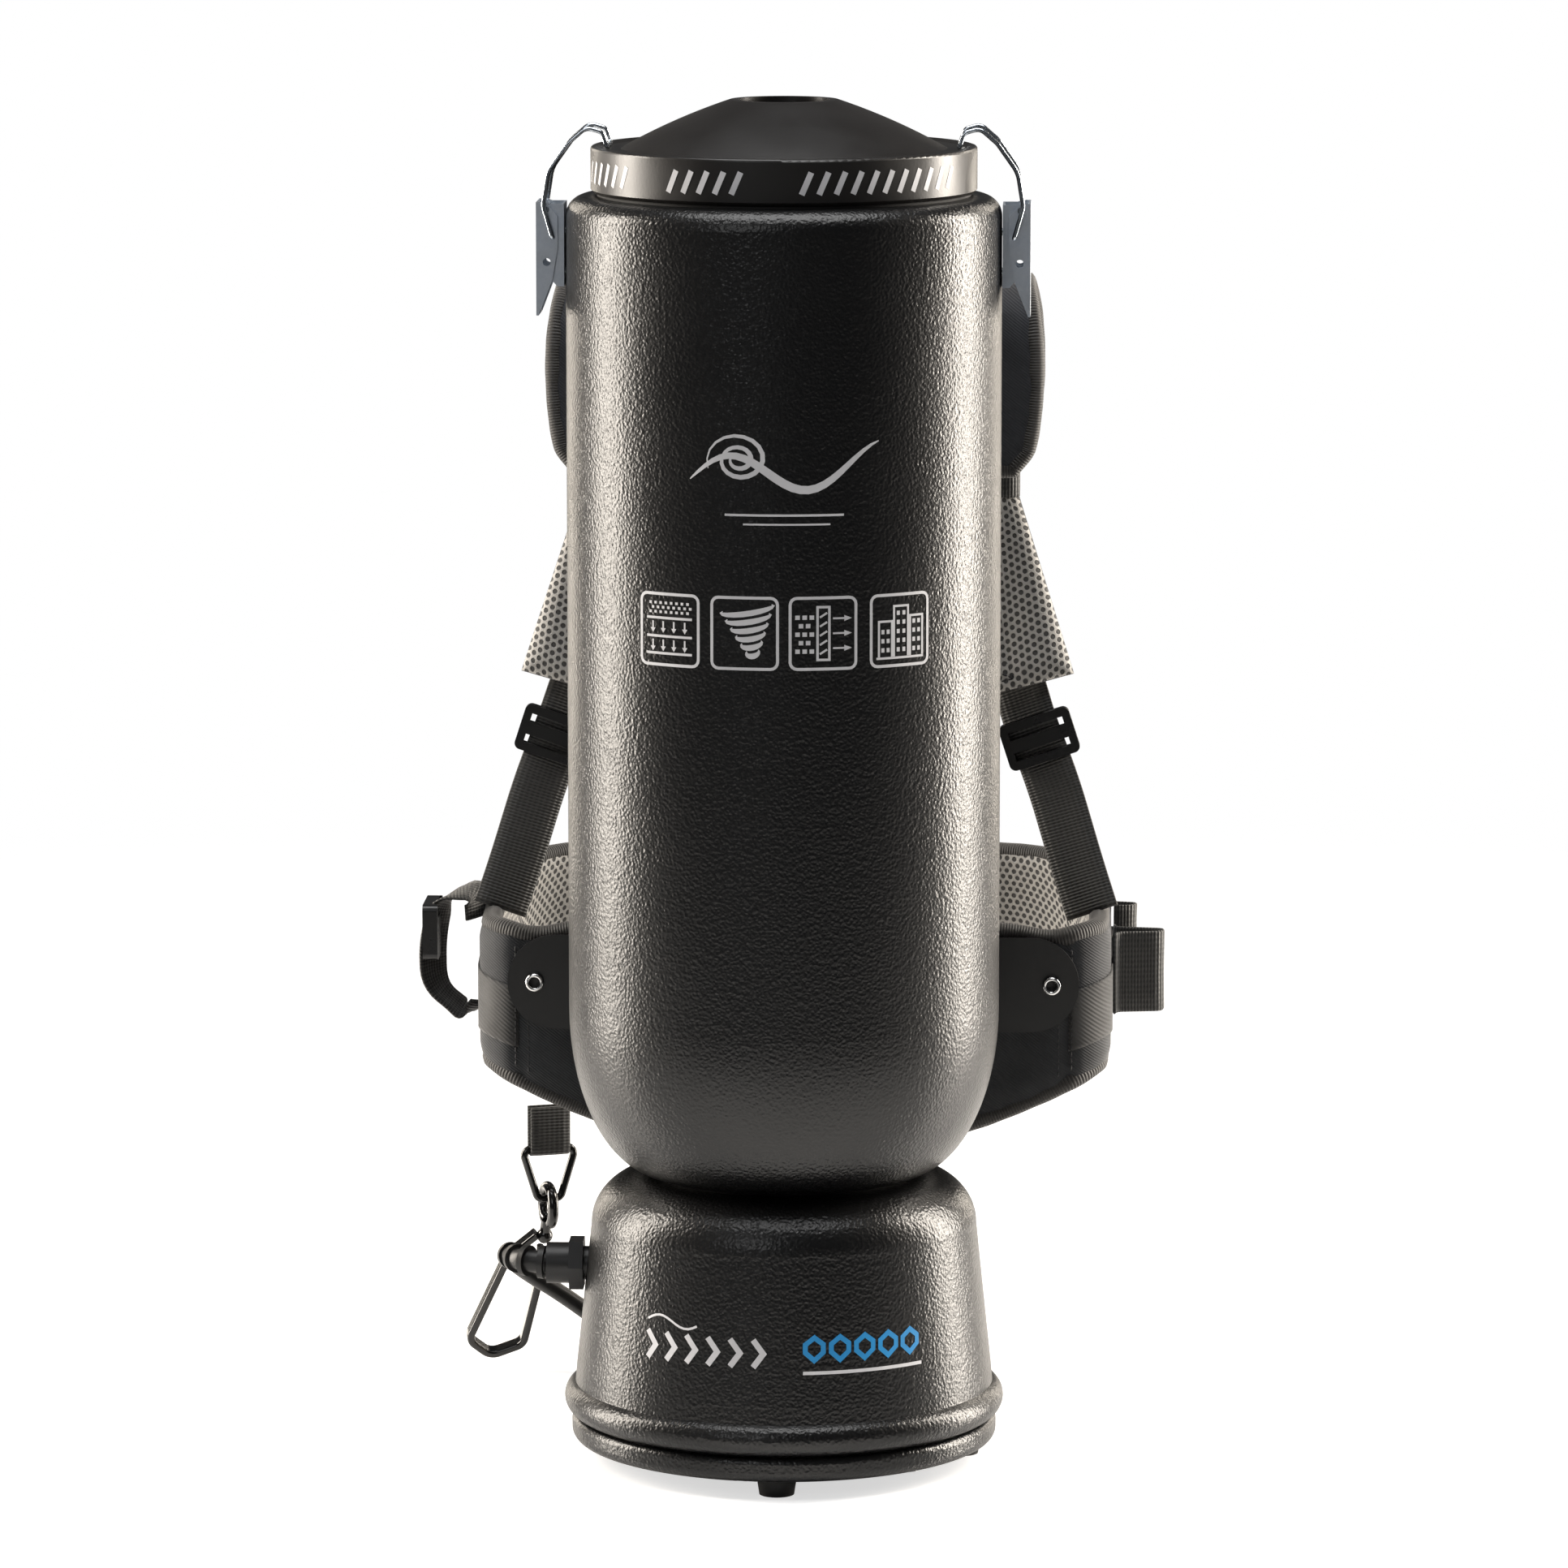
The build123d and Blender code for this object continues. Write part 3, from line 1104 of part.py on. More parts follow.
def triangle_ring():
    """Closed triangular ring with its bar in the tab and its point down."""
    half = RING_W / 2
    tip = RING_TIP_W / 2
    path = FilletPolyline((-half, 0), (half, 0), (tip, -RING_H), (-tip, -RING_H), close=True, radius=3.2)
    return wire_bent(ring_frame * path, RING_WIRE_R)


def hook_tab():
    """Folded webbing tab under the belt, round the ring's bar."""
    low_r = RING_WIRE_R + 0.35
    outer = Circle(low_r + WEB_T) + Pos(0, 10) * Rectangle(2 * (low_r + WEB_T), 20)
    inner = Circle(low_r) + Pos(0, 9) * Rectangle(2 * low_r, 18)
    width = RING_W - 9
    side = Plane(
        origin=ring_frame.origin - ring_frame.x_dir * width / 2, x_dir=-ring_frame.z_dir, z_dir=ring_frame.x_dir
    )
    return extrude(side * (outer - inner), width)


point = ring_frame.origin - ring_frame.y_dir * RING_H
hook_end = Vector(-146, FRAME_Y + 56, HOOK_WIRE_R + 3.0)
hook_way = (hook_end - point).normalized()
hook_frame = Plane(origin=point, x_dir=hook_way, z_dir=ring_frame.x_dir)
loop_turn = Vector(0.3, -1, 0)
loop_frame = Plane(origin=point, x_dir=hook_way, z_dir=loop_turn - hook_way * loop_turn.dot(hook_way))


hook_lift = RING_WIRE_R + HOOK_WIRE_R + 0.5
hook_neck = 2 * HOOK_EYE_R - hook_lift + 8


def snap_hook():
    """Hook of bent bar: an open eye in the ring, a shank and a long flat-band loop turned to the front."""
    centre = HOOK_EYE_R - hook_lift
    eye = wire_bent(hook_frame * CenterArc((centre, 0), HOOK_EYE_R, 0, 305), HOOK_WIRE_R)
    shank = wire_bent(hook_frame * Line((centre + HOOK_EYE_R - 1, 0), (hook_neck + 1, 0)), HOOK_WIRE_R)
    loop_w = HOOK_LOOP_W / 2
    far = HOOK_L + 8
    loop = loop_frame * FilletPolyline(
        (hook_neck - 1, 0),
        (hook_neck + 14, -loop_w * 0.7),
        (far - 6, -loop_w),
        (far, 0),
        (far - 10, loop_w),
        (hook_neck + 22, loop_w * 0.7),
        radius=[6, 6, 7, 6],
    )
    section = Plane(origin=loop @ 0, x_dir=loop_frame.z_dir, z_dir=loop % 0)
    band = sweep(section * RectangleRounded(HOOK_BAND_W, HOOK_BAND_T, 1.4), path=loop)
    knuckle = Pos(hook_frame.from_local_coords(Vector(hook_neck, 0, 0))) * Sphere(HOOK_WIRE_R + 1.3)
    return eye + shank + (knuckle + band)


keep("hook_tab", hook_tab())
keep("hook_ring", triangle_ring())
keep("snap_hook", snap_hook())
gate_clear = HOOK_WIRE_R + GATE_WIRE_R + 0.5
gate_line = Line((hook_neck + 4.8, gate_clear - 0.6), (hook_neck + 20.6, HOOK_LOOP_W * 0.35 - 0.6))
keep("hook_gate", wire_bent(loop_frame * gate_line, GATE_WIRE_R))

os.makedirs("parts", exist_ok=True)
for name, piece in pieces.items():
    export_step(piece, f"parts/{name}.step")
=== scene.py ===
"""Backpack vacuum cleaner: finishes, soft goods, printing and studio round the fixed frame."""

import logging
import math
from collections.abc import Callable, Sequence
from dataclasses import dataclass, field
from enum import Enum

import bmesh
import bpy
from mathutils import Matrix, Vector


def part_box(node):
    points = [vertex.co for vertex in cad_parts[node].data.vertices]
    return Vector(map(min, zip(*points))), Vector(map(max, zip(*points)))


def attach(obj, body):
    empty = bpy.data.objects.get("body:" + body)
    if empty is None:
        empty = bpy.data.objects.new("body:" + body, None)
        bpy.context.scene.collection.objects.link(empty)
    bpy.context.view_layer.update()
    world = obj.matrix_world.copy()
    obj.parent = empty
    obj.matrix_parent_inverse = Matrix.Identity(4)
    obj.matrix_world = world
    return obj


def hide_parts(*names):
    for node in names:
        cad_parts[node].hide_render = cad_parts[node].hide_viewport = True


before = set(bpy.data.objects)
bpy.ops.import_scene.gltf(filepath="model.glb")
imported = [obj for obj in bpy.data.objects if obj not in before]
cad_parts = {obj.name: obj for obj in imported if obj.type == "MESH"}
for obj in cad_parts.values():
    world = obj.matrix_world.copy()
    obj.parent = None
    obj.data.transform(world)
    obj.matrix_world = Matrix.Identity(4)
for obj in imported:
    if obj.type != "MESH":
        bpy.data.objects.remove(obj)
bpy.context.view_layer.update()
LOG = logging.getLogger("backpack_vacuum")
SETBACK = 75.55  # the canister's axis stands this far in front of the origin, mm

Point = tuple[float, float, float]
Surface = Callable[[float, float], Vector]
Thickness = Callable[[float, float], float]


class Side(Enum):
    """Which side of the harness a piece is on."""

    RIGHT = 1
    LEFT = -1

    @property
    def word(self) -> str:
        """The side's word, as the nodes spell it."""
        return self.name.lower()


def at(x: float, y: float, z: float) -> Vector:
    """A place given in mm about the canister's axis, in metres in the row frame."""
    return Vector((x / 1000, (y - SETBACK) / 1000, z / 1000))


def mix(a: float, b: float, share: float) -> float:
    """The value a share of the way from a to b."""
    return a + (b - a) * share


def smooth(x: float) -> float:
    """An eased step, level at 0 and at 1."""
    x = min(1.0, max(0.0, x))
    return x * x * (3 - 2 * x)


def linear(code: str) -> tuple[float, float, float, float]:
    """Turn an sRGB hex colour into linear RGBA.

    Args:
        code: six hex digits, with or without a leading hash.

    Returns:
        Linear red, green and blue with full opacity.
    """
    parts = [int(code.lstrip("#")[i : i + 2], 16) / 255 for i in (0, 2, 4)]
    rgb = [c / 12.92 if c <= 0.04045 else ((c + 0.055) / 1.055) ** 2.4 for c in parts]
    return (rgb[0], rgb[1], rgb[2], 1.0)


# ---- Finishes ------------------------------------------------------------------------
def add_node(tree: bpy.types.NodeTree, kind: str, links: dict | None = None, **settings) -> bpy.types.Node:
    """Add a node with its settings and links.

    Args:
        tree: the node tree to add to.
        kind: the node's type name without the ShaderNode prefix.
        links: socket name or index to a value, or to an output socket.
        **settings: attributes of the node.

    Returns:
        The new node.
    """
    made = tree.nodes.new("ShaderNode" + kind)
    for key, value in settings.items():
        setattr(made, key, value)
    for key, value in (links or {}).items():
        if isinstance(value, bpy.types.NodeSocket):
            tree.links.new(value, made.inputs[key])
        else:
            made.inputs[key].default_value = value
    return made


def colour_range(tree: bpy.types.NodeTree, fac: bpy.types.NodeSocket, low: str, high: str,
                 start: float = 0.0, end: float = 1.0) -> bpy.types.NodeSocket:
    """Blend two colours by a pattern.

    Args:
        tree: the node tree.
        fac: the pattern's output.
        low: hex colour at the start value.
        high: hex colour at the end value.
        start: pattern value of the low colour.
        end: pattern value of the high colour.

    Returns:
        The colour output.
    """
    ramp = add_node(tree, "ValToRGB", {0: fac})
    ramp.color_ramp.elements[0].position = start
    ramp.color_ramp.elements[0].color = linear(low)
    ramp.color_ramp.elements[1].position = end
    ramp.color_ramp.elements[1].color = linear(high)
    return ramp.outputs[0]


def spread(tree: bpy.types.NodeTree, fac: bpy.types.NodeSocket, low: float, high: float,
           start: float = 0.0, end: float = 1.0) -> bpy.types.NodeSocket:
    """Map a pattern to a range of numbers.

    Args:
        tree: the node tree.
        fac: the pattern's output.
        low: number at the start value.
        high: number at the end value.
        start: pattern value of the low number.
        end: pattern value of the high number.

    Returns:
        The mapped output.
    """
    links = {0: fac, 1: start, 2: end, 3: low, 4: high}
    return add_node(tree, "MapRange", links).outputs[0]


@dataclass(frozen=True)
class Finish:
    """A surface: its name, colours, gloss and what the light does on it."""

    name: str
    colour: str
    dark: str
    rough: float
    rough_change: float = 0.06
    metallic: float = 0.0
    ior: float = 1.5
    coat: float = 0.0
    sheen: float = 0.0

    def pattern(self, tree: bpy.types.NodeTree) -> tuple[bpy.types.NodeSocket, bpy.types.NodeSocket, float]:
        """Cloudy wear at handling scale, with a fine even texture for the relief.

        Args:
            tree: the node tree.

        Returns:
            The colour pattern, the relief pattern and the relief's depth in metres.
        """
        place = add_node(tree, "TexCoord").outputs["Object"]
        clouds = add_node(tree, "TexNoise", {"Vector": place, "Scale": 1 / 0.03, "Detail": 4.0})
        fine = add_node(tree, "TexNoise", {"Vector": place, "Scale": 1 / 0.0012, "Detail": 2.0})
        return clouds.outputs[0], fine.outputs[0], 0.00003

    def make(self) -> bpy.types.Material:
        """Build the material once and hand out the same one afterwards.

        Returns:
            The material.
        """
        found = bpy.data.materials.get(self.name)
        if found:
            return found
        material = bpy.data.materials.new(self.name)
        material.use_nodes = True
        tree = material.node_tree
        tree.nodes.clear()
        # The first pattern sets the colour. For the ribbed weaves and the air mesh it is also their relief,
        # so their colour carries painted highlight and painted shade.
        clouds, relief, depth = self.pattern(tree)
        bump = add_node(tree, "Bump", {"Height": relief, "Distance": depth, "Strength": 1.0})
        shader = add_node(tree, "BsdfPrincipled", {
            "Base Color": colour_range(tree, clouds, self.dark, self.colour, 0.3, 0.7),
            "Roughness": spread(tree, clouds, self.rough + self.rough_change,
                                self.rough - self.rough_change, 0.3, 0.7),
            "Metallic": self.metallic,
            "Coat Weight": self.coat,
            "Sheen Weight": self.sheen,
            "Normal": bump.outputs[0],
        })
        if not self.metallic:
            shader.inputs["IOR"].default_value = self.ior
        if self.sheen:
            shader.inputs["Sheen Roughness"].default_value = 0.45
        add_node(tree, "OutputMaterial", {0: shader.outputs[0]})
        return material


@dataclass(frozen=True)
class LeatherGrainAbs(Finish):
    """ABS moulded in a grained tool: shallow pebbles break each highlight into sparkles."""

    pebble_mm: float = 1.5  # width of one pebble of the tool's grain
    depth_mm: float = 0.16

    def pattern(self, tree: bpy.types.NodeTree) -> tuple[bpy.types.NodeSocket, bpy.types.NodeSocket, float]:
        """Pebbled grain, broken up so that its rows don't show.

        Args:
            tree: the node tree.

        Returns:
            The colour pattern, the relief pattern and the relief's depth in metres.
        """
        place = add_node(tree, "TexCoord").outputs["Object"]
        clouds = add_node(tree, "TexNoise", {"Vector": place, "Scale": 1 / 0.05, "Detail": 5.0})
        size = 1 / (self.pebble_mm / 1000)
        pebbles = add_node(tree, "TexVoronoi", {"Vector": place, "Scale": size, "Smoothness": 0.6},
                           feature="SMOOTH_F1")
        swirl = add_node(tree, "TexNoise", {"Vector": place, "Scale": size * 1.1, "Detail": 2.0})
        both = add_node(tree, "Math", {0: pebbles.outputs[0], 1: swirl.outputs[0]}, operation="SUBTRACT")
        return clouds.outputs[0], both.outputs[0], self.depth_mm / 1000


@dataclass(frozen=True)
class RolledZinc(Finish):
    """Steel sheet, rolled and bright zinc plated: drawn lines and a faint blue cast."""

    def pattern(self, tree: bpy.types.NodeTree) -> tuple[bpy.types.NodeSocket, bpy.types.NodeSocket, float]:
        """Long rolling lines up the sheet, and plating clouds.

        Args:
            tree: the node tree.

        Returns:
            The colour pattern, the relief pattern and the relief's depth in metres.
        """
        place = add_node(tree, "TexCoord").outputs["Object"]
        clouds = add_node(tree, "TexNoise", {"Vector": place, "Scale": 1 / 0.008, "Detail": 5.0})
        drawn = add_node(tree, "Mapping", {"Vector": place, "Scale": (1.0, 1.0, 0.06)})
        lines = add_node(tree, "TexNoise", {"Vector": drawn.outputs[0], "Scale": 1 / 0.0006, "Detail": 2.0})
        return clouds.outputs[0], lines.outputs[0], 0.00002


@dataclass(frozen=True)
class TwillNylon(Finish):
    """Woven nylon twill: fine slanted ridges, dull, with a soft bloom at the edges."""

    rib_mm: float = 1.1  # real twill is about 0.5 mm, drawn coarser so that it shows

    def pattern(self, tree: bpy.types.NodeTree) -> tuple[bpy.types.NodeSocket, bpy.types.NodeSocket, float]:
        """Slanted ribs crossed by threads.

        Args:
            tree: the node tree.

        Returns:
            The colour pattern, the relief pattern and the relief's depth in metres.
        """
        place = add_node(tree, "TexCoord").outputs["Object"]
        clouds = add_node(tree, "TexNoise", {"Vector": place, "Scale": 1 / 0.02, "Detail": 5.0})
        turned = add_node(tree, "Mapping", {"Vector": place, "Rotation": (0.0, math.radians(52), 0.0)})
        # a band texture repeats every pi / (10 x scale)
        scale = math.pi / (10 * self.rib_mm / 1000)
        ribs = add_node(tree, "TexWave", {"Vector": turned.outputs[0], "Scale": scale, "Distortion": 0.6,
                                          "Detail Scale": 2.0})
        return clouds.outputs[0], ribs.outputs[0], 0.00012


@dataclass(frozen=True)
class RibbedWeave(Finish):
    """Narrow-woven nylon, as webbing and grosgrain are: raised ribs straight across its length, painted
    lighter on their crests and darker in their grooves as painted highlight and painted shade.
    """

    rib_mm: float = 1.5  # spacing of the ribs
    across_mm: float = 2.4  # spacing of the warp rows that cross them

    def pattern(self, tree: bpy.types.NodeTree) -> tuple[bpy.types.NodeSocket, bpy.types.NodeSocket, float]:
        """Ribs along the first map direction, warp rows along the second; the same pattern paints the
        colour, as painted highlight on the crests and painted shade in the grooves.

        Args:
            tree: the node tree.

        Returns:
            The colour pattern, the relief pattern and the relief's depth in metres.
        """
        flat = add_node(tree, "UVMap", uv_map="cloth").outputs[0]
        ribs = add_node(tree, "TexWave", {"Vector": flat, "Scale": math.pi / (10 * self.rib_mm / 1000),
                                          "Distortion": 0.35, "Detail Scale": 3.0}, bands_direction="X")
        rows = add_node(tree, "TexWave", {"Vector": flat, "Scale": math.pi / (10 * self.across_mm / 1000),
                                          "Distortion": 0.3}, bands_direction="Y")
        low = add_node(tree, "Math", {0: rows.outputs[1], 1: 0.45}, operation="MULTIPLY")
        both = add_node(tree, "Math", {0: ribs.outputs[1], 1: low.outputs[0]}, operation="ADD")
        # the relief doubles as the colour pattern: painted highlight on the crests, painted shade in the
        # grooves
        return both.outputs[0], both.outputs[0], 0.0003


@dataclass(frozen=True)
class AirMesh(Finish):
    """Polyester spacer mesh, knitted with staggered oval holes that are filled with painted shade."""

    pitch_mm: float = 4.0
    row_mm: float = 2.9
    # painted shade seen inside each hole
    hole_shade: str = "#3b3a38"

    def pattern(self, tree: bpy.types.NodeTree) -> tuple[bpy.types.NodeSocket, bpy.types.NodeSocket, float]:
        """Oval holes in rows that are each set over by half a step.

        Args:
            tree: the node tree.

        Returns:
            The colour pattern, the relief pattern and the relief's depth in metres.
        """
        flat = add_node(tree, "UVMap", uv_map="cloth").outputs[0]
        steps = (1000 / self.pitch_mm, 1000 / self.row_mm, 0.0)
        grid = add_node(tree, "VectorMath", {0: flat, 1: steps}, operation="MULTIPLY")
        apart = add_node(tree, "SeparateXYZ", {0: grid.outputs[0]})
        row = add_node(tree, "Math", {0: apart.outputs[1]}, operation="FLOOR")
        over = add_node(tree, "Math", {0: row.outputs[0], 1: 0.5, 2: apart.outputs[0]},
                        operation="MULTIPLY_ADD")
        cell = add_node(tree, "CombineXYZ", {0: over.outputs[0], 1: apart.outputs[1]})
        part = add_node(tree, "VectorMath", {0: cell.outputs[0]}, operation="FRACTION")
        middle = add_node(tree, "VectorMath", {0: part.outputs[0], 1: (0.5, 0.5, 0.0)},
                          operation="SUBTRACT")
        oval = add_node(tree, "VectorMath", {0: middle.outputs[0], 1: (1.25, 1.0, 0.0)},
                        operation="MULTIPLY")
        far = add_node(tree, "VectorMath", {0: oval.outputs[0]}, operation="LENGTH")
        rim = spread(tree, far.outputs["Value"], 0.0, 1.0, 0.3, 0.46)
        # the hole pattern also sets the colour, so each hole is filled with painted shade
        return rim, rim, 0.0007

    def make(self) -> bpy.types.Material:
        """Build the mesh with painted shade in its holes, darker than its threads.

        Returns:
            The material.
        """
        known = bpy.data.materials.get(self.name)
        material = super().make()
        if known is None:
            ramp = next(n for n in material.node_tree.nodes if n.bl_idname == "ShaderNodeValToRGB")
            ramp.color_ramp.elements[0].color = linear(self.hole_shade)
        return material


# Black moulded shell: its pebbled skin breaks each highlight into sparkles.
GRAINED_ABS = LeatherGrainAbs("canister_grained_abs", "#0a0a0b", "#080809", 0.3, 0.02, ior=1.5,
                              depth_mm=0.2)
# Black moulding, smoother than the shell, with one broad soft highlight; its warm dark grey is partly its
# own colour and partly painted light, lightened for the top light on the lid.
LID_ABS = Finish("lid_satin_abs", "#1b1918", "#161413", 0.36, ior=1.53)
# Bright plated sheet, bluish, with fine lines drawn along it.
ZINC = RolledZinc("latch_zinc_plate", "#e3eaf2", "#c3ccd8", 0.4, metallic=1.0)
# Greyer plated steel, dull from handling.
SCREW_ZINC = RolledZinc("screw_zinc_plate", "#b4b6b8", "#85878a", 0.34, metallic=1.0)
# Plated spring wire, with thin bright lines along its length.
ZINC_WIRE = Finish("latch_zinc_wire", "#cfd6dd", "#aab2bb", 0.2, 0.04, metallic=1.0)
# Near-mirror plating that picks the rivets out as small bright rings.
CHROME = Finish("rivet_chrome_plate", "#e6e6e6", "#c9c9c9", 0.12, 0.04, metallic=1.0)
# Pale yellow metal of the blades, softly worn.
BRASS = Finish("plug_nickelled_brass", "#cfc8ae", "#b0a685", 0.28, metallic=1.0)
# Dead matt black, so that the feet and seals read as gaps; it also closes the eyelets' bores as painted
# shade.
RUBBER_AND_BORE_SHADE = Finish("foot_rubber_and_bore_shade", "#131313", "#0c0c0c", 0.66, ior=1.52)
# Soft-looking black plastic with dull highlights on its ribs.
RELIEF_PVC = Finish("relief_moulded_pvc", "#141414", "#0c0c0c", 0.44, ior=1.53)
# Extruded jacket with one smooth highlight along it.
JACKET_PVC = Finish("lead_extruded_pvc", "#101011", "#0a0a0a", 0.38, ior=1.53)
# Hard moulded black, a little glossier than the jacket.
GLAND_NYLON = Finish("gland_moulded_nylon", "#141416", "#0d0d0e", 0.4, ior=1.53)
# Polished moulding that shows a clear reflection.
SWITCH_NYLON = Finish("switch_polished_nylon", "#0d0d0e", "#080808", 0.22, ior=1.53)
# Waxy dark grey plate, almost without highlights.
FRAME_PE = Finish("back_frame_moulded_pe", "#1b1b1c", "#121213", 0.5, ior=1.51)
# Even black coat with a low sheen.
POWDER_STEEL = Finish("belt_plate_powder_coat", "#0d0d0e", "#080809", 0.36, ior=1.5)
# Slick black buckle plastic.
ACETAL = Finish("buckle_moulded_acetal", "#121213", "#0b0b0b", 0.3, ior=1.48)
# The glossiest plastic here: hard white glints along its bends.
HOOK_ACETAL = Finish("hook_polished_acetal", "#0e0d0d", "#080808", 0.16, 0.04, ior=1.48, coat=0.3)
# Blue-black woven cloth that drinks the light and blooms at grazing angles.
PAD_TWILL = TwillNylon("pad_twill_nylon", "#23252c", "#191b20", 0.82, sheen=0.25, ior=1.53)
# The belt's cloth, a shade darker and greyer than the pads'.
BELT_TWILL = TwillNylon("belt_twill_nylon", "#202226", "#17181b", 0.8, sheen=0.25, ior=1.53)
# Coarser, browner cloth with wider ribs, so that the wings stand out from the belt.
PACKCLOTH = TwillNylon("wing_pack_cloth", "#2f2e2d", "#222120", 0.72, sheen=0.25, ior=1.53, rib_mm=1.6)
# Thick ribs straight across the strap, each crest with a painted highlight and each groove with painted
# shade.
WEBBING = RibbedWeave("webbing_ribbed_nylon", "#2b2a27", "#0c0c0b", 0.62, sheen=0.2, ior=1.53)
# Close fine ribs that mark out every sewn edge, with a painted highlight on each crest and painted shade in
# each groove.
BINDING = RibbedWeave("binding_grosgrain", "#2d2a27", "#0b0b0a", 0.68, sheen=0.2, ior=1.53, rib_mm=1.3,
                      across_mm=9.0)
# Pale grey knit dotted with holes of painted shade.
MESH_CLOTH = AirMesh("pad_spacer_mesh", "#a9a6a1", "#96938e", 0.78, sheen=0.3, ior=1.53)
# Dull dark thread that shows as a raised dotted line.
THREAD = Finish("bonded_thread", "#0d0e14", "#08080b", 0.6, sheen=0.2)
# Flat off-white ink with no grain of its own.
INK_WHITE = Finish("print_ink_white", "#d9d9dc", "#c9c9cc", 0.5)
# Flat clear blue ink.
INK_BLUE = Finish("print_ink_blue", "#1f8fd0", "#1a82c0", 0.5)
# Pressed grey steel with drawn lines.
MOTOR_STEEL = RolledZinc("motor_pressed_steel", "#a8a8a8", "#7d7d7d", 0.4, metallic=1.0)
# Paler spun metal, brighter than the motor's case.
FAN_ALLOY = RolledZinc("fan_spun_aluminium", "#c7c7c9", "#a0a0a3", 0.32, metallic=1.0)
# Cream fleece, quite matt.
FILTER_PAPER = Finish("filter_fleece_paper", "#e2ddcf", "#c9c2b0", 0.9, sheen=0.2)
# Mid-grey inner moulding, neither glossy nor dull.
INNER_PP = Finish("inner_moulded_pp", "#5a5a5a", "#4a4a4a", 0.5, ior=1.49)

NODE_FINISHES: dict[Finish, tuple[str, ...]] = {
    GRAINED_ABS: ("canister_shell", "base_housing", "base_cover"),
    ZINC: ("latch_bracket_left", "latch_bracket_right", "latch_lever_left", "latch_lever_right"),
    ZINC_WIRE: ("latch_bail_left", "latch_bail_right", "latch_pins", "latch_rivets"),
    SCREW_ZINC: ("base_screws", "frame_bolts"),
    BRASS: ("plug_blades",),
    RUBBER_AND_BORE_SHADE: ("rubber_feet", "lid_gasket", "port_seal", "neck_gasket"),
    RELIEF_PVC: ("strain_relief",),
    JACKET_PVC: ("plug_body",),
    GLAND_NYLON: ("gland_nut", "gland_body"),
    SWITCH_NYLON: ("switch_bezel", "switch_rocker"),
    FRAME_PE: ("back_frame",),
    POWDER_STEEL: ("belt_plate",),
    ACETAL: ("buckle_socket", "buckle_tongue", "ladder_lock_left", "ladder_lock_right", "tail_adjuster"),
    HOOK_ACETAL: ("hook_ring", "snap_hook", "hook_gate"),
    LID_ABS: ("lid_shell",),
    MOTOR_STEEL: ("motor_casing", "motor_stator", "motor_armature", "motor_bearings"),
    FAN_ALLOY: ("fan_impeller", "fan_cover"),
    FILTER_PAPER: ("exhaust_filter", "dome_filter", "filter_bag"),
    INNER_PP: ("filter_cage", "bag_collar"),
}


# ---- Mesh making ---------------------------------------------------------------------
def to_object(name: str, verts: Sequence[Vector], faces: Sequence[Sequence[int]],
              finishes: Sequence[Finish], slots: Sequence[int] = (),
              cloth: Sequence[tuple[float, float]] = ()) -> bpy.types.Object:
    """Make a smooth mesh object.

    Args:
        name: the piece's name.
        verts: corner points in metres.
        faces: corner numbers of each face.
        finishes: the finishes, in slot order.
        slots: the finish of each face, where there is more than one.
        cloth: for each vertex, its flat place on the cloth in metres.

    Returns:
        The object, linked to the scene.
    """
    mesh = bpy.data.meshes.new(name)
    mesh.from_pydata([tuple(v) for v in verts], [], [tuple(f) for f in faces])
    for finish in finishes:
        mesh.materials.append(finish.make())
    for number, face in enumerate(mesh.polygons):
        face.use_smooth = True
        if slots:
            face.material_index = slots[number]
    if cloth:
        layer = mesh.uv_layers.new(name="cloth")
        for loop in mesh.loops:
            layer.data[loop.index].uv = cloth[loop.vertex_index]
    mesh.validate()
    made = bpy.data.objects.new(name, mesh)
    bpy.context.scene.collection.objects.link(made)
    return made


def weld(piece: bpy.types.Object) -> None:
    """Join a mesh's doubled points where it closes on itself, and turn its faces outwards.

    Args:
        piece: the object.
    """
    mesh = bmesh.new()
    mesh.from_mesh(piece.data)
    bmesh.ops.remove_doubles(mesh, verts=mesh.verts, dist=0.00001)
    bmesh.ops.recalc_face_normals(mesh, faces=mesh.faces)
    mesh.to_mesh(piece.data)
    mesh.free()


def sheet_points(surface: Surface, nu: int, nv: int) -> tuple[list[list[Vector]], list[list[Vector]]]:
    """Sample a surface and its normals on a grid.

    Args:
        surface: gives the point for two shares from 0 to 1.
        nu: steps in the first direction.
        nv: steps in the second direction.

    Returns:
        The grid of points and the grid of unit normals.
    """
    spots = [[surface(i / nu, j / nv) for j in range(nv + 1)] for i in range(nu + 1)]
    normals = []
    for i in range(nu + 1):
        row = []
        for j in range(nv + 1):
            along = spots[min(i + 1, nu)][j] - spots[max(i - 1, 0)][j]
            across = spots[i][min(j + 1, nv)] - spots[i][max(j - 1, 0)]
            row.append(along.cross(across).normalized())
        normals.append(row)
    return spots, normals


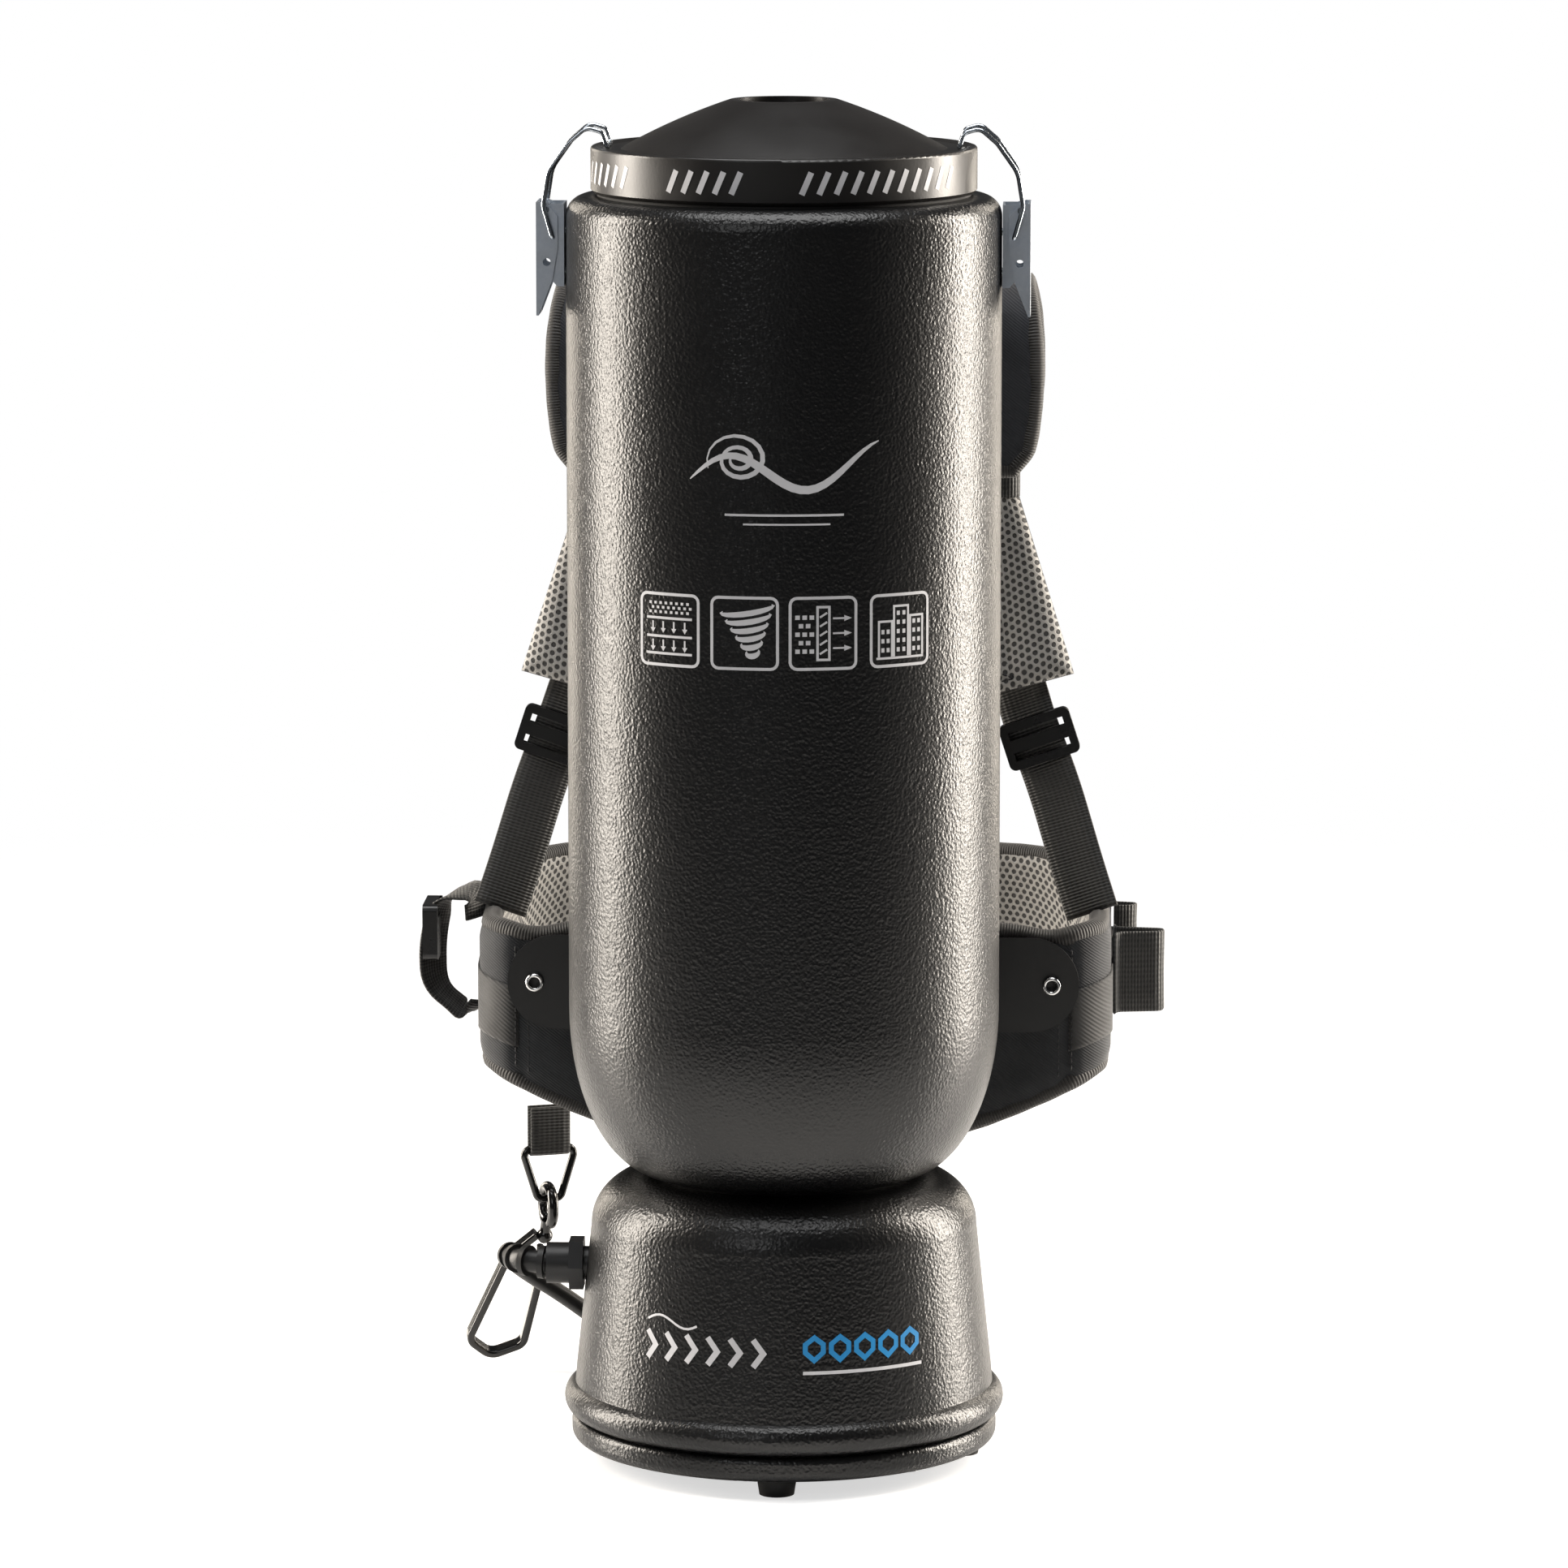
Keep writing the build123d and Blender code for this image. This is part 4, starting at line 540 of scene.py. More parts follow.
def padded_sheet(name: str, surface: Surface, steps: tuple[int, int], thick: Thickness,
                 finishes: Sequence[Finish]) -> bpy.types.Object:
    """A closed pad on a middle surface: its two faces meet in a narrow rim.

    Args:
        name: the piece's name.
        surface: the middle surface, for two shares.
        steps: grid steps in each direction.
        thick: whole thickness in metres, for the same two shares.
        finishes: the front finish, then the back one.

    Returns:
        The object.
    """
    nu, nv = steps
    spots, normals = sheet_points(surface, nu, nv)
    wide = nv + 1
    verts: list[Vector] = []
    cloth: list[tuple[float, float]] = []
    runs_u = [0.0]
    for i in range(nu):
        runs_u.append(runs_u[-1] + (spots[i + 1][nv // 2] - spots[i][nv // 2]).length)
    for way in (1, -1):
        for i in range(nu + 1):
            run_v = 0.0
            for j in range(nv + 1):
                if j:
                    run_v += (spots[i][j] - spots[i][j - 1]).length
                verts.append(spots[i][j] + normals[i][j] * (way * thick(i / nu, j / nv) / 2))
                cloth.append((runs_u[i], run_v))
    faces, slots = [], []
    back = wide * (nu + 1)
    for i in range(nu):
        for j in range(nv):
            a, b, c, d = i * wide + j, (i + 1) * wide + j, (i + 1) * wide + j + 1, i * wide + j + 1
            faces += [(a, b, c, d), (back + a, back + d, back + c, back + b)]
            slots += [0, len(finishes) - 1]
    rim = [i * wide for i in range(nu + 1)] + [nu * wide + j for j in range(1, nv + 1)]
    rim += [i * wide + nv for i in range(nu - 1, -1, -1)] + [j for j in range(nv - 1, 0, -1)]
    for a, b in zip(rim, rim[1:] + rim[:1]):
        faces.append((b, a, back + a, back + b))
        slots.append(0)
    return to_object(name, verts, faces, finishes, slots, cloth)


def rim_path(surface: Surface, steps: tuple[int, int]) -> tuple[list[Vector], list[Vector], list[Vector]]:
    """Walk round a surface's rim.

    Args:
        surface: the middle surface, for two shares.
        steps: grid steps in each direction.

    Returns:
        Points on the rim, the surface's normals there, and the ways into the surface.
    """
    nu, nv = steps
    spots, normals = sheet_points(surface, nu, nv)
    walk = [(i, 0) for i in range(nu)] + [(nu, j) for j in range(nv)]
    walk += [(i, nv) for i in range(nu, 0, -1)] + [(0, j) for j in range(nv, 0, -1)]
    points = [spots[i][j] for i, j in walk]
    up = [normals[i][j] for i, j in walk]
    count = len(walk)
    inward = []
    for k in range(count):
        along = points[(k + 1) % count] - points[k - 1]
        inward.append(up[k].cross(along).normalized())
    return points, up, inward


def bound_edge(name: str, surface: Surface, steps: tuple[int, int], width_mm: float, thick_mm: float,
               pucker: float = 0.12) -> bpy.types.Object:
    """Grosgrain tape folded over a pad's rim, drawn in a little by its stitches.

    Args:
        name: the piece's name.
        surface: the pad's middle surface.
        steps: how finely the rim is followed.
        width_mm: how far the tape reaches on to the pad.
        thick_mm: thickness over the tape.
        pucker: share by which the stitches draw the tape in and let it out.

    Returns:
        The object.
    """
    points, up, inward = rim_path(surface, steps)
    ring = 12
    verts, cloth, faces = [], [], []
    run = 0.0
    count = len(points)
    for k in range(count + 1):
        here = k % count
        if k:
            run += (points[here] - points[k - 1]).length
        draw = 1 + pucker * (math.sin(run * 410) * 0.5 + math.sin(run * 157 + 1.3) * 0.5)
        for r in range(ring + 1):
            turn = 2 * math.pi * r / ring
            flat = math.cos(turn)
            reach = (0.75 - 1.0 * abs(flat) ** 0.8 * math.copysign(1, flat)) * width_mm / 2000 * draw
            lift = math.sin(turn) * thick_mm / 2000 * (1.0 + 0.25 * (draw - 1))
            verts.append(points[here] + inward[here] * reach + up[here] * lift)
            cloth.append((run, r / ring * 2 * width_mm / 1000))
    for k in range(count):
        for r in range(ring):
            a, b = k * (ring + 1) + r, (k + 1) * (ring + 1) + r
            faces.append((a, b, b + 1, a + 1))
    made = to_object(name, verts, faces, [BINDING], cloth=cloth)
    weld(made)
    return made


def ribbon(name: str, path: Sequence[Vector], across: Callable[[float], Vector] | Vector, width_mm: float,
           thick_mm: float, finish: Finish, curl: float = 0.0) -> bpy.types.Object:
    """Flat webbing along a path, with soft edges.

    Args:
        name: the piece's name.
        path: points along its middle line.
        across: the way across its width, fixed or for a share of its length.
        width_mm: width of the webbing.
        thick_mm: its thickness.
        finish: its finish.
        curl: how far its edges rise, in mm.

    Returns:
        The object.
    """
    profile = [(-0.5, 0.1), (-0.48, 0.42), (-0.25, 0.5), (0, 0.5), (0.25, 0.5), (0.48, 0.42), (0.5, 0.1)]
    profile += [(a, -t) for a, t in reversed(profile)]
    verts, cloth, faces = [], [], []
    run, ring, last = 0.0, len(profile), len(path) - 1
    for k, spot in enumerate(path):
        if k:
            run += (spot - path[k - 1]).length
        way = (path[min(k + 1, last)] - path[max(k - 1, 0)]).normalized()
        side = across(k / last) if callable(across) else across
        side = (side - way * side.dot(way)).normalized()
        normal = way.cross(side)
        for a, t in profile:
            lift = t * thick_mm + curl * (4 * a * a - 0.33)
            verts.append(spot + side * (a * width_mm / 1000) + normal * (lift / 1000))
            cloth.append((run, (a + 0.5) * width_mm / 1000))
    for k in range(last):
        for r in range(ring):
            a, b = k * ring + r, (k + 1) * ring + r
            n = (r + 1) % ring
            faces.append((a, b, (k + 1) * ring + n, k * ring + n))
    faces += [tuple(range(ring)), tuple(last * ring + r for r in reversed(range(ring)))]
    return to_object(name, verts, faces, [finish], cloth=cloth)


def rounded(points: Sequence[Vector], radius_mm: float, steps: int = 6) -> list[Vector]:
    """Round the corners of an open line of points.

    Args:
        points: corner points.
        radius_mm: how far from each corner the rounding starts.
        steps: points on each rounding.

    Returns:
        The denser, rounded line.
    """
    out = [points[0]]
    for a, b, c in zip(points, points[1:], points[2:]):
        cut = min(radius_mm / 1000, (b - a).length * 0.49, (c - b).length * 0.49)
        start, end = b + (a - b).normalized() * cut, b + (c - b).normalized() * cut
        out += [start.lerp(b, s / steps).lerp(b.lerp(end, s / steps), s / steps) for s in range(steps + 1)]
    out.append(points[-1])
    dense = [out[0]]
    for a, b in zip(out, out[1:]):
        parts = max(1, round((b - a).length / 0.003))
        dense += [a.lerp(b, s / parts) for s in range(1, parts + 1)]
    return dense


def stitches(name: str, lines: Sequence[Sequence[Vector]], stitch_mm: float = 3.2) -> bpy.types.Object:
    """Rows of separate raised stitches.

    Args:
        name: the piece's name.
        lines: each row's points, on the cloth.
        stitch_mm: stitch length with its gap.

    Returns:
        The object.
    """
    verts, faces = [], []
    for line in lines:
        dense = rounded(line, 0.1, 1)
        total = sum((b - a).length for a, b in zip(dense, dense[1:]))
        count = max(1, round(total * 1000 / stitch_mm))
        for k in range(count):
            ends = []
            for share in ((k + 0.08) / count, (k + 0.92) / count):
                left = share * total
                spot = dense[-1]
                for a, b in zip(dense, dense[1:]):
                    if left <= (b - a).length:
                        spot = a.lerp(b, left / (b - a).length)
                        break
                    left -= (b - a).length
                ends.append(spot)
            way = (ends[1] - ends[0]).normalized()
            side = way.cross(Vector((0.3, 1, 0.2))).normalized()
            up = side.cross(way)
            first = len(verts)
            for share, girth in ((0.0, 0.12), (0.25, 0.42), (0.75, 0.42), (1.0, 0.12)):
                centre = ends[0].lerp(ends[1], share)
                for r in range(6):
                    turn = r * math.pi / 3
                    verts.append(centre + (side * math.cos(turn) + up * math.sin(turn)) * (girth / 1000))
            for s in range(3):
                for r in range(6):
                    a, n = first + s * 6 + r, first + s * 6 + (r + 1) % 6
                    faces.append((a, n, n + 6, a + 6))
            faces += [tuple(first + r for r in range(6))[::-1], tuple(first + 18 + r for r in range(6))]
    return to_object(name, verts, faces, [THREAD])


def puff(piece: bpy.types.Object, voxel: float, pressure: float, cap: float,
         finish: Finish) -> bpy.types.Object:
    """Blow a pad up with Cloth so that its fabric fills and wrinkles.

    Args:
        piece: the closed pad, a little slack.
        voxel: remesh size in metres.
        pressure: inner pressure.
        cap: furthest that any point may move, in metres.
        finish: the fabric.

    Returns:
        The same object with its filled mesh.
    """
    remesh = piece.modifiers.new("even_out", "REMESH")
    remesh.mode = "VOXEL"
    remesh.voxel_size = voxel
    graph = bpy.context.evaluated_depsgraph_get()
    even = bpy.data.meshes.new_from_object(piece.evaluated_get(graph))
    piece.modifiers.clear()
    piece.data = even
    start = [v.co.copy() for v in even.vertices]
    cloth = piece.modifiers.new("fill", "CLOTH")
    cloth.settings.use_pressure = True
    cloth.settings.uniform_pressure_force = pressure
    cloth.settings.effector_weights.gravity = 0
    cloth.settings.quality = 4
    for step in range(1, 21):
        bpy.context.scene.frame_set(step)
    graph = bpy.context.evaluated_depsgraph_get()
    filled = bpy.data.meshes.new_from_object(piece.evaluated_get(graph))
    piece.modifiers.clear()
    piece.data = filled
    for vertex, was in zip(filled.vertices, start):
        move = vertex.co - was
        if move.length > cap:
            vertex.co = was + move.normalized() * cap
    bpy.context.scene.frame_set(1)
    piece.data.materials.clear()
    piece.data.materials.append(finish.make())
    refine = piece.modifiers.new("refine", "SUBSURF")
    refine.levels = refine.render_levels = 1
    for face in piece.data.polygons:
        face.use_smooth = True
    return piece


def dress(finish: Finish, *nodes: str) -> None:
    """Give CAD nodes a finish.

    Args:
        finish: the finish.
        *nodes: the nodes' names.
    """
    for name in nodes:
        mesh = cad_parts[name].data
        mesh.materials.clear()
        mesh.materials.append(finish.make())
        for face in mesh.polygons:
            face.material_index = 0


# ---- Studio and lead -----------------------------------------------------------------
@dataclass
class Studio:
    """Camera, pale floor and soft lights."""

    distance_m: float = 3.4
    height_m: float = 0.83
    aim_m: float = 0.305
    azimuth_deg: float = 2.3
    lens_mm: float = 177.0

    def place_camera(self) -> None:
        """Set the camera in front, a little above and to the right."""
        turn = math.radians(self.azimuth_deg)
        axis = at(0, 0, 0)
        spot = axis + Vector((math.sin(turn), -math.cos(turn), 0)) * self.distance_m
        spot.z = self.height_m
        data = bpy.data.cameras.new("studio_camera")
        data.lens, data.sensor_width, data.clip_end = self.lens_mm, 36.0, 100.0
        camera = bpy.data.objects.new("studio_camera", data)
        camera.location = spot
        camera.rotation_euler = (Vector((0, axis.y, self.aim_m)) - spot).to_track_quat("-Z", "Y").to_euler()
        bpy.context.scene.collection.objects.link(camera)
        bpy.context.scene.camera = camera

    def light(self, name: str, spot: Point, size: tuple[float, float], watts: float,
              tint: str = "#ffffff") -> None:
        """Hang one soft box that faces the canister.

        Args:
            name: the light's name.
            spot: its place in metres.
            size: its width and height in metres.
            watts: its power.
            tint: its hex colour.
        """
        data = bpy.data.lights.new(name, "AREA")
        data.shape, data.size, data.size_y = "RECTANGLE", size[0], size[1]
        data.energy, data.color = watts, linear(tint)[:3]
        lamp = bpy.data.objects.new(name, data)
        lamp.location = spot
        lamp.rotation_euler = (Vector((0, -0.03, 0.3)) - Vector(spot)).to_track_quat("-Z", "Y").to_euler()
        bpy.context.scene.collection.objects.link(lamp)

    def light_up(self) -> None:
        """Two tall side boxes, a top box, a weak front box and a pale room."""
        self.light("side_box_left", (-1.5, 0.24, 0.6), (0.4, 1.5), 50, "#fff6ea")
        self.light("side_box_right", (1.42, 0.5, 0.6), (0.4, 1.5), 58, "#fff6ea")
        self.light("rim_box_left", (-0.9, 1.4, 0.6), (0.3, 1.3), 7, "#fff4e4")
        self.light("rim_box_right", (0.8, 1.5, 0.6), (0.3, 1.3), 7, "#fff4e4")
        self.light("top_box", (0.0, -0.3, 2.1), (1.6, 1.2), 30)
        self.light("front_box", (-0.9, -2.6, 1.5), (1.0, 1.0), 7)
        world = bpy.data.worlds.new("pale_room")
        world.use_nodes = True
        tree = world.node_tree
        tree.nodes.clear()
        seen = add_node(tree, "LightPath").outputs["Is Camera Ray"]
        shown = add_node(tree, "Background", {"Color": (1, 1, 1, 1), "Strength": 1.0})
        felt = add_node(tree, "Background", {"Color": (0.95, 0.97, 1, 1), "Strength": 0.07})
        pick = add_node(tree, "MixShader", {0: seen, 1: felt.outputs[0], 2: shown.outputs[0]})
        add_node(tree, "OutputWorld", {0: pick.outputs[0]})
        bpy.context.scene.world = world
        bpy.context.scene.view_settings.view_transform = "Standard"

    def lay_floor(self) -> None:
        """A pale, slightly glossy floor that fades into the room."""
        steps, reach = 64, 4.0
        verts = [Vector((0, 0, 0))] + [
            Vector((math.cos(k * math.tau / steps) * reach, math.sin(k * math.tau / steps) * reach, 0))
            for k in range(steps)
        ]
        faces = [(0, 1 + k, 1 + (k + 1) % steps) for k in range(steps)]
        paint = Finish("floor_pale_laminate", "#f4f4f4", "#f0f0f0", 0.13, 0.02)
        floor = to_object("studio_floor", verts, faces, [paint])
        tree = floor.data.materials[0].node_tree
        shader = next(n for n in tree.nodes if n.bl_idname == "ShaderNodeBsdfPrincipled")
        shader.inputs["Emission Color"].default_value = (1, 1, 1, 1)
        seen = add_node(tree, "LightPath").outputs["Is Camera Ray"]
        glow = add_node(tree, "Math", {0: seen, 1: 0.62}, operation="MULTIPLY")
        tree.links.new(glow.outputs[0], shader.inputs["Emission Strength"])
        place = add_node(tree, "TexCoord").outputs["Object"]
        far = add_node(tree, "VectorMath", {0: place}, operation="LENGTH").outputs["Value"]
        fade = spread(tree, far, 0.0, 1.0, 0.35, 1.7)
        clear = add_node(tree, "BsdfTransparent")
        both = add_node(tree, "MixShader", {0: fade, 1: shader.outputs[0], 2: clear.outputs[0]})
        out = next(n for n in tree.nodes if n.bl_idname == "ShaderNodeOutputMaterial")
        tree.links.new(both.outputs[0], out.inputs[0])


@dataclass
class Pigtail:
    """The short mains lead with its plug, lying behind the base."""

    diameter_mm: float = 8.0
    length_m: float = 0.509
    route_mm: tuple[Point, ...] = (
        (-126.0, 26.0, 83.0), (-127.5, 42.5, 78.5), (-120.5, 56.0, 69.0), (-105.0, 66.0, 57.0),
        (-84.0, 76.0, 39.0), (-62.0, 89.0, 19.0), (-38.0, 103.0, 6.0), (-2.0, 118.0, 4.1),
        (34.0, 131.0, 4.1), (64.0, 152.0, 4.1), (74.0, 187.0, 4.1), (62.0, 221.0, 4.1),
        (30.0, 240.0, 4.1), (-7.0, 242.0, 4.1), (-41.0, 228.0, 4.1), (-64.0, 200.0, 10.0),
        (-72.0, 168.0, 10.0),
    )

    def build(self) -> None:
        """Lay the lead as one smooth curve from the relief to the plug."""
        curve = bpy.data.curves.new("mains_lead", "CURVE")
        curve.dimensions = "3D"
        curve.bevel_depth = self.diameter_mm / 2000
        curve.bevel_resolution, curve.use_fill_caps = 6, True
        line = curve.splines.new("NURBS")
        line.points.add(len(self.route_mm) - 1)
        for knot, spot in zip(line.points, self.route_mm):
            knot.co = (*at(*spot), 1.0)
        line.order_u = 3
        line.use_endpoint_u = True
        line.resolution_u = 16
        curve.materials.append(JACKET_PVC.make())
        lead = bpy.data.objects.new("mains_lead", curve)
        bpy.context.scene.collection.objects.link(lead)
        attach(lead, "body")
        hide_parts("power_cord")
        tuple(at(*self.route_mm[0]))


# ---- Printing ------------------------------------------------------------------------
@dataclass
class RoundPrint:
    """Ink printed on a round wall, drawn flat in mm and wrapped on."""

    name: str
    radius_mm: Callable[[float], float]
    finish: Finish
    lift_mm: float = 0.12
    verts: list[Vector] = field(default_factory=list)
    faces: list[tuple[int, ...]] = field(default_factory=list)

    def wrap(self, s: float, z: float) -> Vector:
        """Wrap a flat point on to the wall.

        Args:
            s: place along the arc, mm.
            z: height, mm.

        Returns:
            The point in metres.
        """
        radius = self.radius_mm(z) + self.lift_mm
        turn = s / self.radius_mm(z)
        return at(radius * math.sin(turn), -radius * math.cos(turn), z)

    def stroke(self, points: Sequence[tuple[float, float]], width: float | Sequence[float],
               closed: bool = False) -> None:
        """Draw a line of even or changing width.

        Args:
            points: its points, flat, in mm.
            width: its width, or one width for each point, in mm.
            closed: whether it ends where it starts.
        """
        line = list(points) + ([points[0]] if closed else [])
        sizes = [width] * len(line) if isinstance(width, (int, float)) else list(width)
        dense: list[tuple[float, float, float]] = []
        for (a, b, w0), (c, d, w1) in zip(
            [(*p, w) for p, w in zip(line, sizes)], [(*p, w) for p, w in zip(line[1:], sizes[1:])]
        ):
            parts = max(1, round(math.hypot(c - a, d - b) / 2.5))
            for share in (k / parts for k in range(parts)):
                dense.append((mix(a, c, share), mix(b, d, share), mix(w0, w1, share)))
        if not closed:
            dense.append((*line[-1], sizes[-1]))
        count, first = len(dense), len(self.verts)
        for k, (x, z, w) in enumerate(dense):
            before = dense[k - 1] if k or closed else dense[k]
            after = dense[(k + 1) % count] if k < count - 1 or closed else dense[k]
            one = Vector((x - before[0], z - before[1]))
            two = Vector((after[0] - x, after[1] - z))
            one = one.normalized() if one.length else two.normalized()
            two = two.normalized() if two.length else one
            way = (one + two).normalized()
            side = Vector((-way.y, way.x)) * (w / 2 / max(0.5, way.dot(one)))
            self.verts += [self.wrap(x + side.x, z + side.y), self.wrap(x - side.x, z - side.y)]
        for k in range(count if closed else count - 1):
            a, b = first + 2 * k, first + 2 * ((k + 1) % count)
            self.faces.append((a, a + 1, b + 1, b))

    def patch(self, x: float, z: float, width: float, height: float) -> None:
        """Fill a rectangle.

        Args:
            x: middle of its lower edge, mm.
            z: height of its lower edge, mm.
            width: its width, mm.
            height: its height, mm.
        """
        if height > width:
            self.stroke([(x, z), (x, z + height)], width)
        else:
            middle = z + height / 2
            self.stroke([(x - width / 2, middle), (x + width / 2, middle)], height)

    def finish_print(self) -> bpy.types.Object:
        """The printed piece, made from all its strokes."""
        return to_object(self.name, self.verts, self.faces, [self.finish])


@dataclass
class PrintedMarks:
    """Plain marks where the maker prints its own: pictograms, swirls and bars, without letters."""

    body_r: float = 96.3
    lid_r: float = 85.3
    tile_w: float = 29.0
    tile_low: float = 370.0
    tile_h: float = 31.0
    tile_turns_deg: tuple[float, ...] = (-29.0, -8.0, 12.5, 34.0)

    def bell(self, z: float) -> float:
        """Radius of the base's flank at a height."""
        return 86.6 + (106.0 - z) * (93.3 - 86.6) / (106.0 - 42.0)

    def tile(self, ink: RoundPrint, middle: float) -> None:
        """Draw the rounded frame of one pictogram.

        Args:
            ink: the print to draw on.
            middle: the frame's middle along the arc, mm.
        """
        half, low, high, cut = self.tile_w / 2, self.tile_low, self.tile_low + self.tile_h, 3.0
        corners = []
        for cx, cz, start in ((half - cut, low + cut, 270), (half - cut, high - cut, 0),
                              (-half + cut, high - cut, 90), (-half + cut, low + cut, 180)):
            for step in range(5):
                turn = math.radians(start + 22.5 * step)
                corners.append((middle + cx + cut * math.cos(turn), cz + cut * math.sin(turn)))
        ink.stroke(corners, 1.3, closed=True)

    def arrow(self, ink: RoundPrint, x: float, z: float, dx: float, dz: float) -> None:
        """Draw a small arrow.

        Args:
            ink: the print to draw on.
            x: its tail along the arc, mm.
            z: its tail's height, mm.
            dx: how far it runs along the arc, mm.
            dz: how far it runs up, mm.
        """
        ink.stroke([(x, z), (x + dx * 0.7, z + dz * 0.7)], 0.8)
        ink.stroke([(x + dx * 0.6, z + dz * 0.6), (x + dx, z + dz)], [2.6, 0.1])

    def pictograms(self) -> bpy.types.Object:
        """Layers, swirl, filter and buildings, each in its frame.

        Returns:
            The printed piece.
        """
        ink = RoundPrint("print_pictograms", lambda z: self.body_r, INK_WHITE)
        middles = [math.radians(turn) * self.body_r for turn in self.tile_turns_deg]
        low = self.tile_low
        for middle in middles:
            self.tile(ink, middle)
        m = middles[0]
        for row in range(3):
            for k in range(8):
                ink.patch(m - 9.5 + k * 2.7 + row % 2 * 1.3, low + 22.5 + row * 2.0, 1.3, 1.2)
        for z in (20.5, 12.5, 5.0):
            ink.stroke([(m - 11.5, low + z), (m + 11.5, low + z)], 1.1)
        for k in range(4):
            self.arrow(ink, m - 8.2 + 5.4 * k, low + 19, 0, -5.0)
            self.arrow(ink, m - 8.2 + 5.4 * k, low + 11, 0, -5.0)
        m = middles[1]
        for k in range(6):
            z, wide = low + 26.0 - 3.7 * k, 11.5 - 1.75 * k
            arc = [(m + 1.2 + 0.5 * k + wide * math.cos(turn),
                    z + 1.9 * math.sin(turn) + wide * 0.16 * math.cos(turn))
                   for turn in (math.radians(step) for step in range(-200, 21, 20))]
            ink.stroke(arc, [0.3 + 2.2 * math.sin(math.pi * j / (len(arc) - 1)) for j in range(len(arc))])
        m = middles[2]
        panel = [(m - 2.6, low + 4), (m + 2.6, low + 4), (m + 2.6, low + 27), (m - 2.6, low + 27)]
        ink.stroke(panel, 1.1, closed=True)
        for z in (7.5, 11.5, 15.5, 19.5, 23.5):
            ink.stroke([(m - 1.6, low + z - 1), (m + 1.6, low + z + 1)], 0.9)
        for row in range(5):
            for k in range(3 - row % 2):
                ink.patch(m - 11.3 + k * 3.1 + row % 2 * 1.5, low + 6.8 + row * 3.7, 2.0, 1.9)
        for z in (9.0, 15.5, 22.0):
            self.arrow(ink, m + 4.2, low + z, 8.4, 0)
        m = middles[3]
        for x, width, height in ((-7.6, 6.4, 15.5), (0.2, 7.2, 22.0), (8.2, 6.6, 17.5)):
            left, right, top = m + x - width / 2, m + x + width / 2, low + 4 + height
            ink.stroke([(left, low + 4), (left, top), (right, top), (right, low + 4)], 1.0)
            for row in range(int(height / 4.0)):
                for k in (-1, 1):
                    ink.patch(m + x + k * width * 0.2, low + 6 + row * 4.0, 1.5, 1.9)
        ink.stroke([(m - 12, low + 3.4), (m + 12, low + 3.4)], 1.0)
        return ink.finish_print()

    def body_mark(self) -> bpy.types.Object:
        """A brushed air swirl over two fine lines.

        Returns:
            The printed piece.
        """
        ink = RoundPrint("print_body_swirl", lambda z: self.body_r, INK_WHITE)
        sweep = [(-38 + 84 * k / 24, 452 + 9 * math.sin(k / 24 * 2.4 * math.pi) + 8 * k / 24)
                 for k in range(25)]
        ink.stroke(sweep, [0.5 + 3.2 * math.sin(math.pi * k / 24) ** 0.7 for k in range(25)])
        for wide, turns in ((12.0, 1.35), (6.5, 1.2)):
            curl = []
            for k in range(25):
                turn = math.radians(200 - 360 * turns * k / 24)
                grow = wide * (1 - 0.62 * k / 24)
                curl.append((-16 + grow * math.cos(turn) * 1.2, 461 + grow * math.sin(turn)))
            ink.stroke(curl, [0.4 + 1.7 * math.sin(math.pi * k / 24) for k in range(25)])
        ink.stroke([(-22, 437), (30, 437)], 1.0)
        ink.stroke([(-14, 433), (24, 433)], 0.8)
        return ink.finish_print()

    def lid_mark(self) -> bpy.types.Object:
        """Groups of slim bars round the lid's band.

        Returns:
            The printed piece.
        """
        ink = RoundPrint("print_lid_bars", lambda z: self.lid_r, INK_WHITE)
        for start, count in ((-118.0, 6), (-50.0, 5), (11.0, 11)):
            for k in range(count):
                x = start + 7.6 * k
                ink.stroke([(x, 574.4), (x + 4.2, 584.0)], 2.6)
        return ink.finish_print()

    def base_marks(self) -> tuple[bpy.types.Object, bpy.types.Object]:
        """A white mark and a blue one on the base.

        Returns:
            The two printed pieces.
        """
        white = RoundPrint("print_base_white", self.bell, INK_WHITE)
        for k in range(6):
            x = -62 + 10.4 * k
            white.stroke([(x, 59.5), (x + 4.5, 65.5), (x, 71.5)], 2.6)
        white.stroke([(-62 + 26 * k / 12, 76.5 + 2.4 * math.sin(k / 2)) for k in range(13)], 1.0)
        white.stroke([(12, 57.0), (70, 57.0)], 1.5)
        blue = RoundPrint("print_base_blue", self.bell, INK_BLUE)
        for k in range(5):
            x = 13 + 11.6 * k
            hexagon = [(x + 4, 72.5), (x + 8, 69.5), (x + 8, 66.0), (x + 4, 62.5), (x, 66.0), (x, 69.5)]
            blue.stroke(hexagon, 2.2, closed=True)
        return white.finish_print(), blue.finish_print()

    def build(self) -> None:
        """Print everything on its own body."""
        white, blue = self.base_marks()
        for piece, body, place in ((self.pictograms(), "body", "canister_plastic"),
                                   (self.body_mark(), "body", "canister_plastic"),
                                   (self.lid_mark(), "lid", "lid_plastic"),
                                   (white, "body", "canister_plastic"), (blue, "body", "canister_plastic")):
            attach(piece, body)


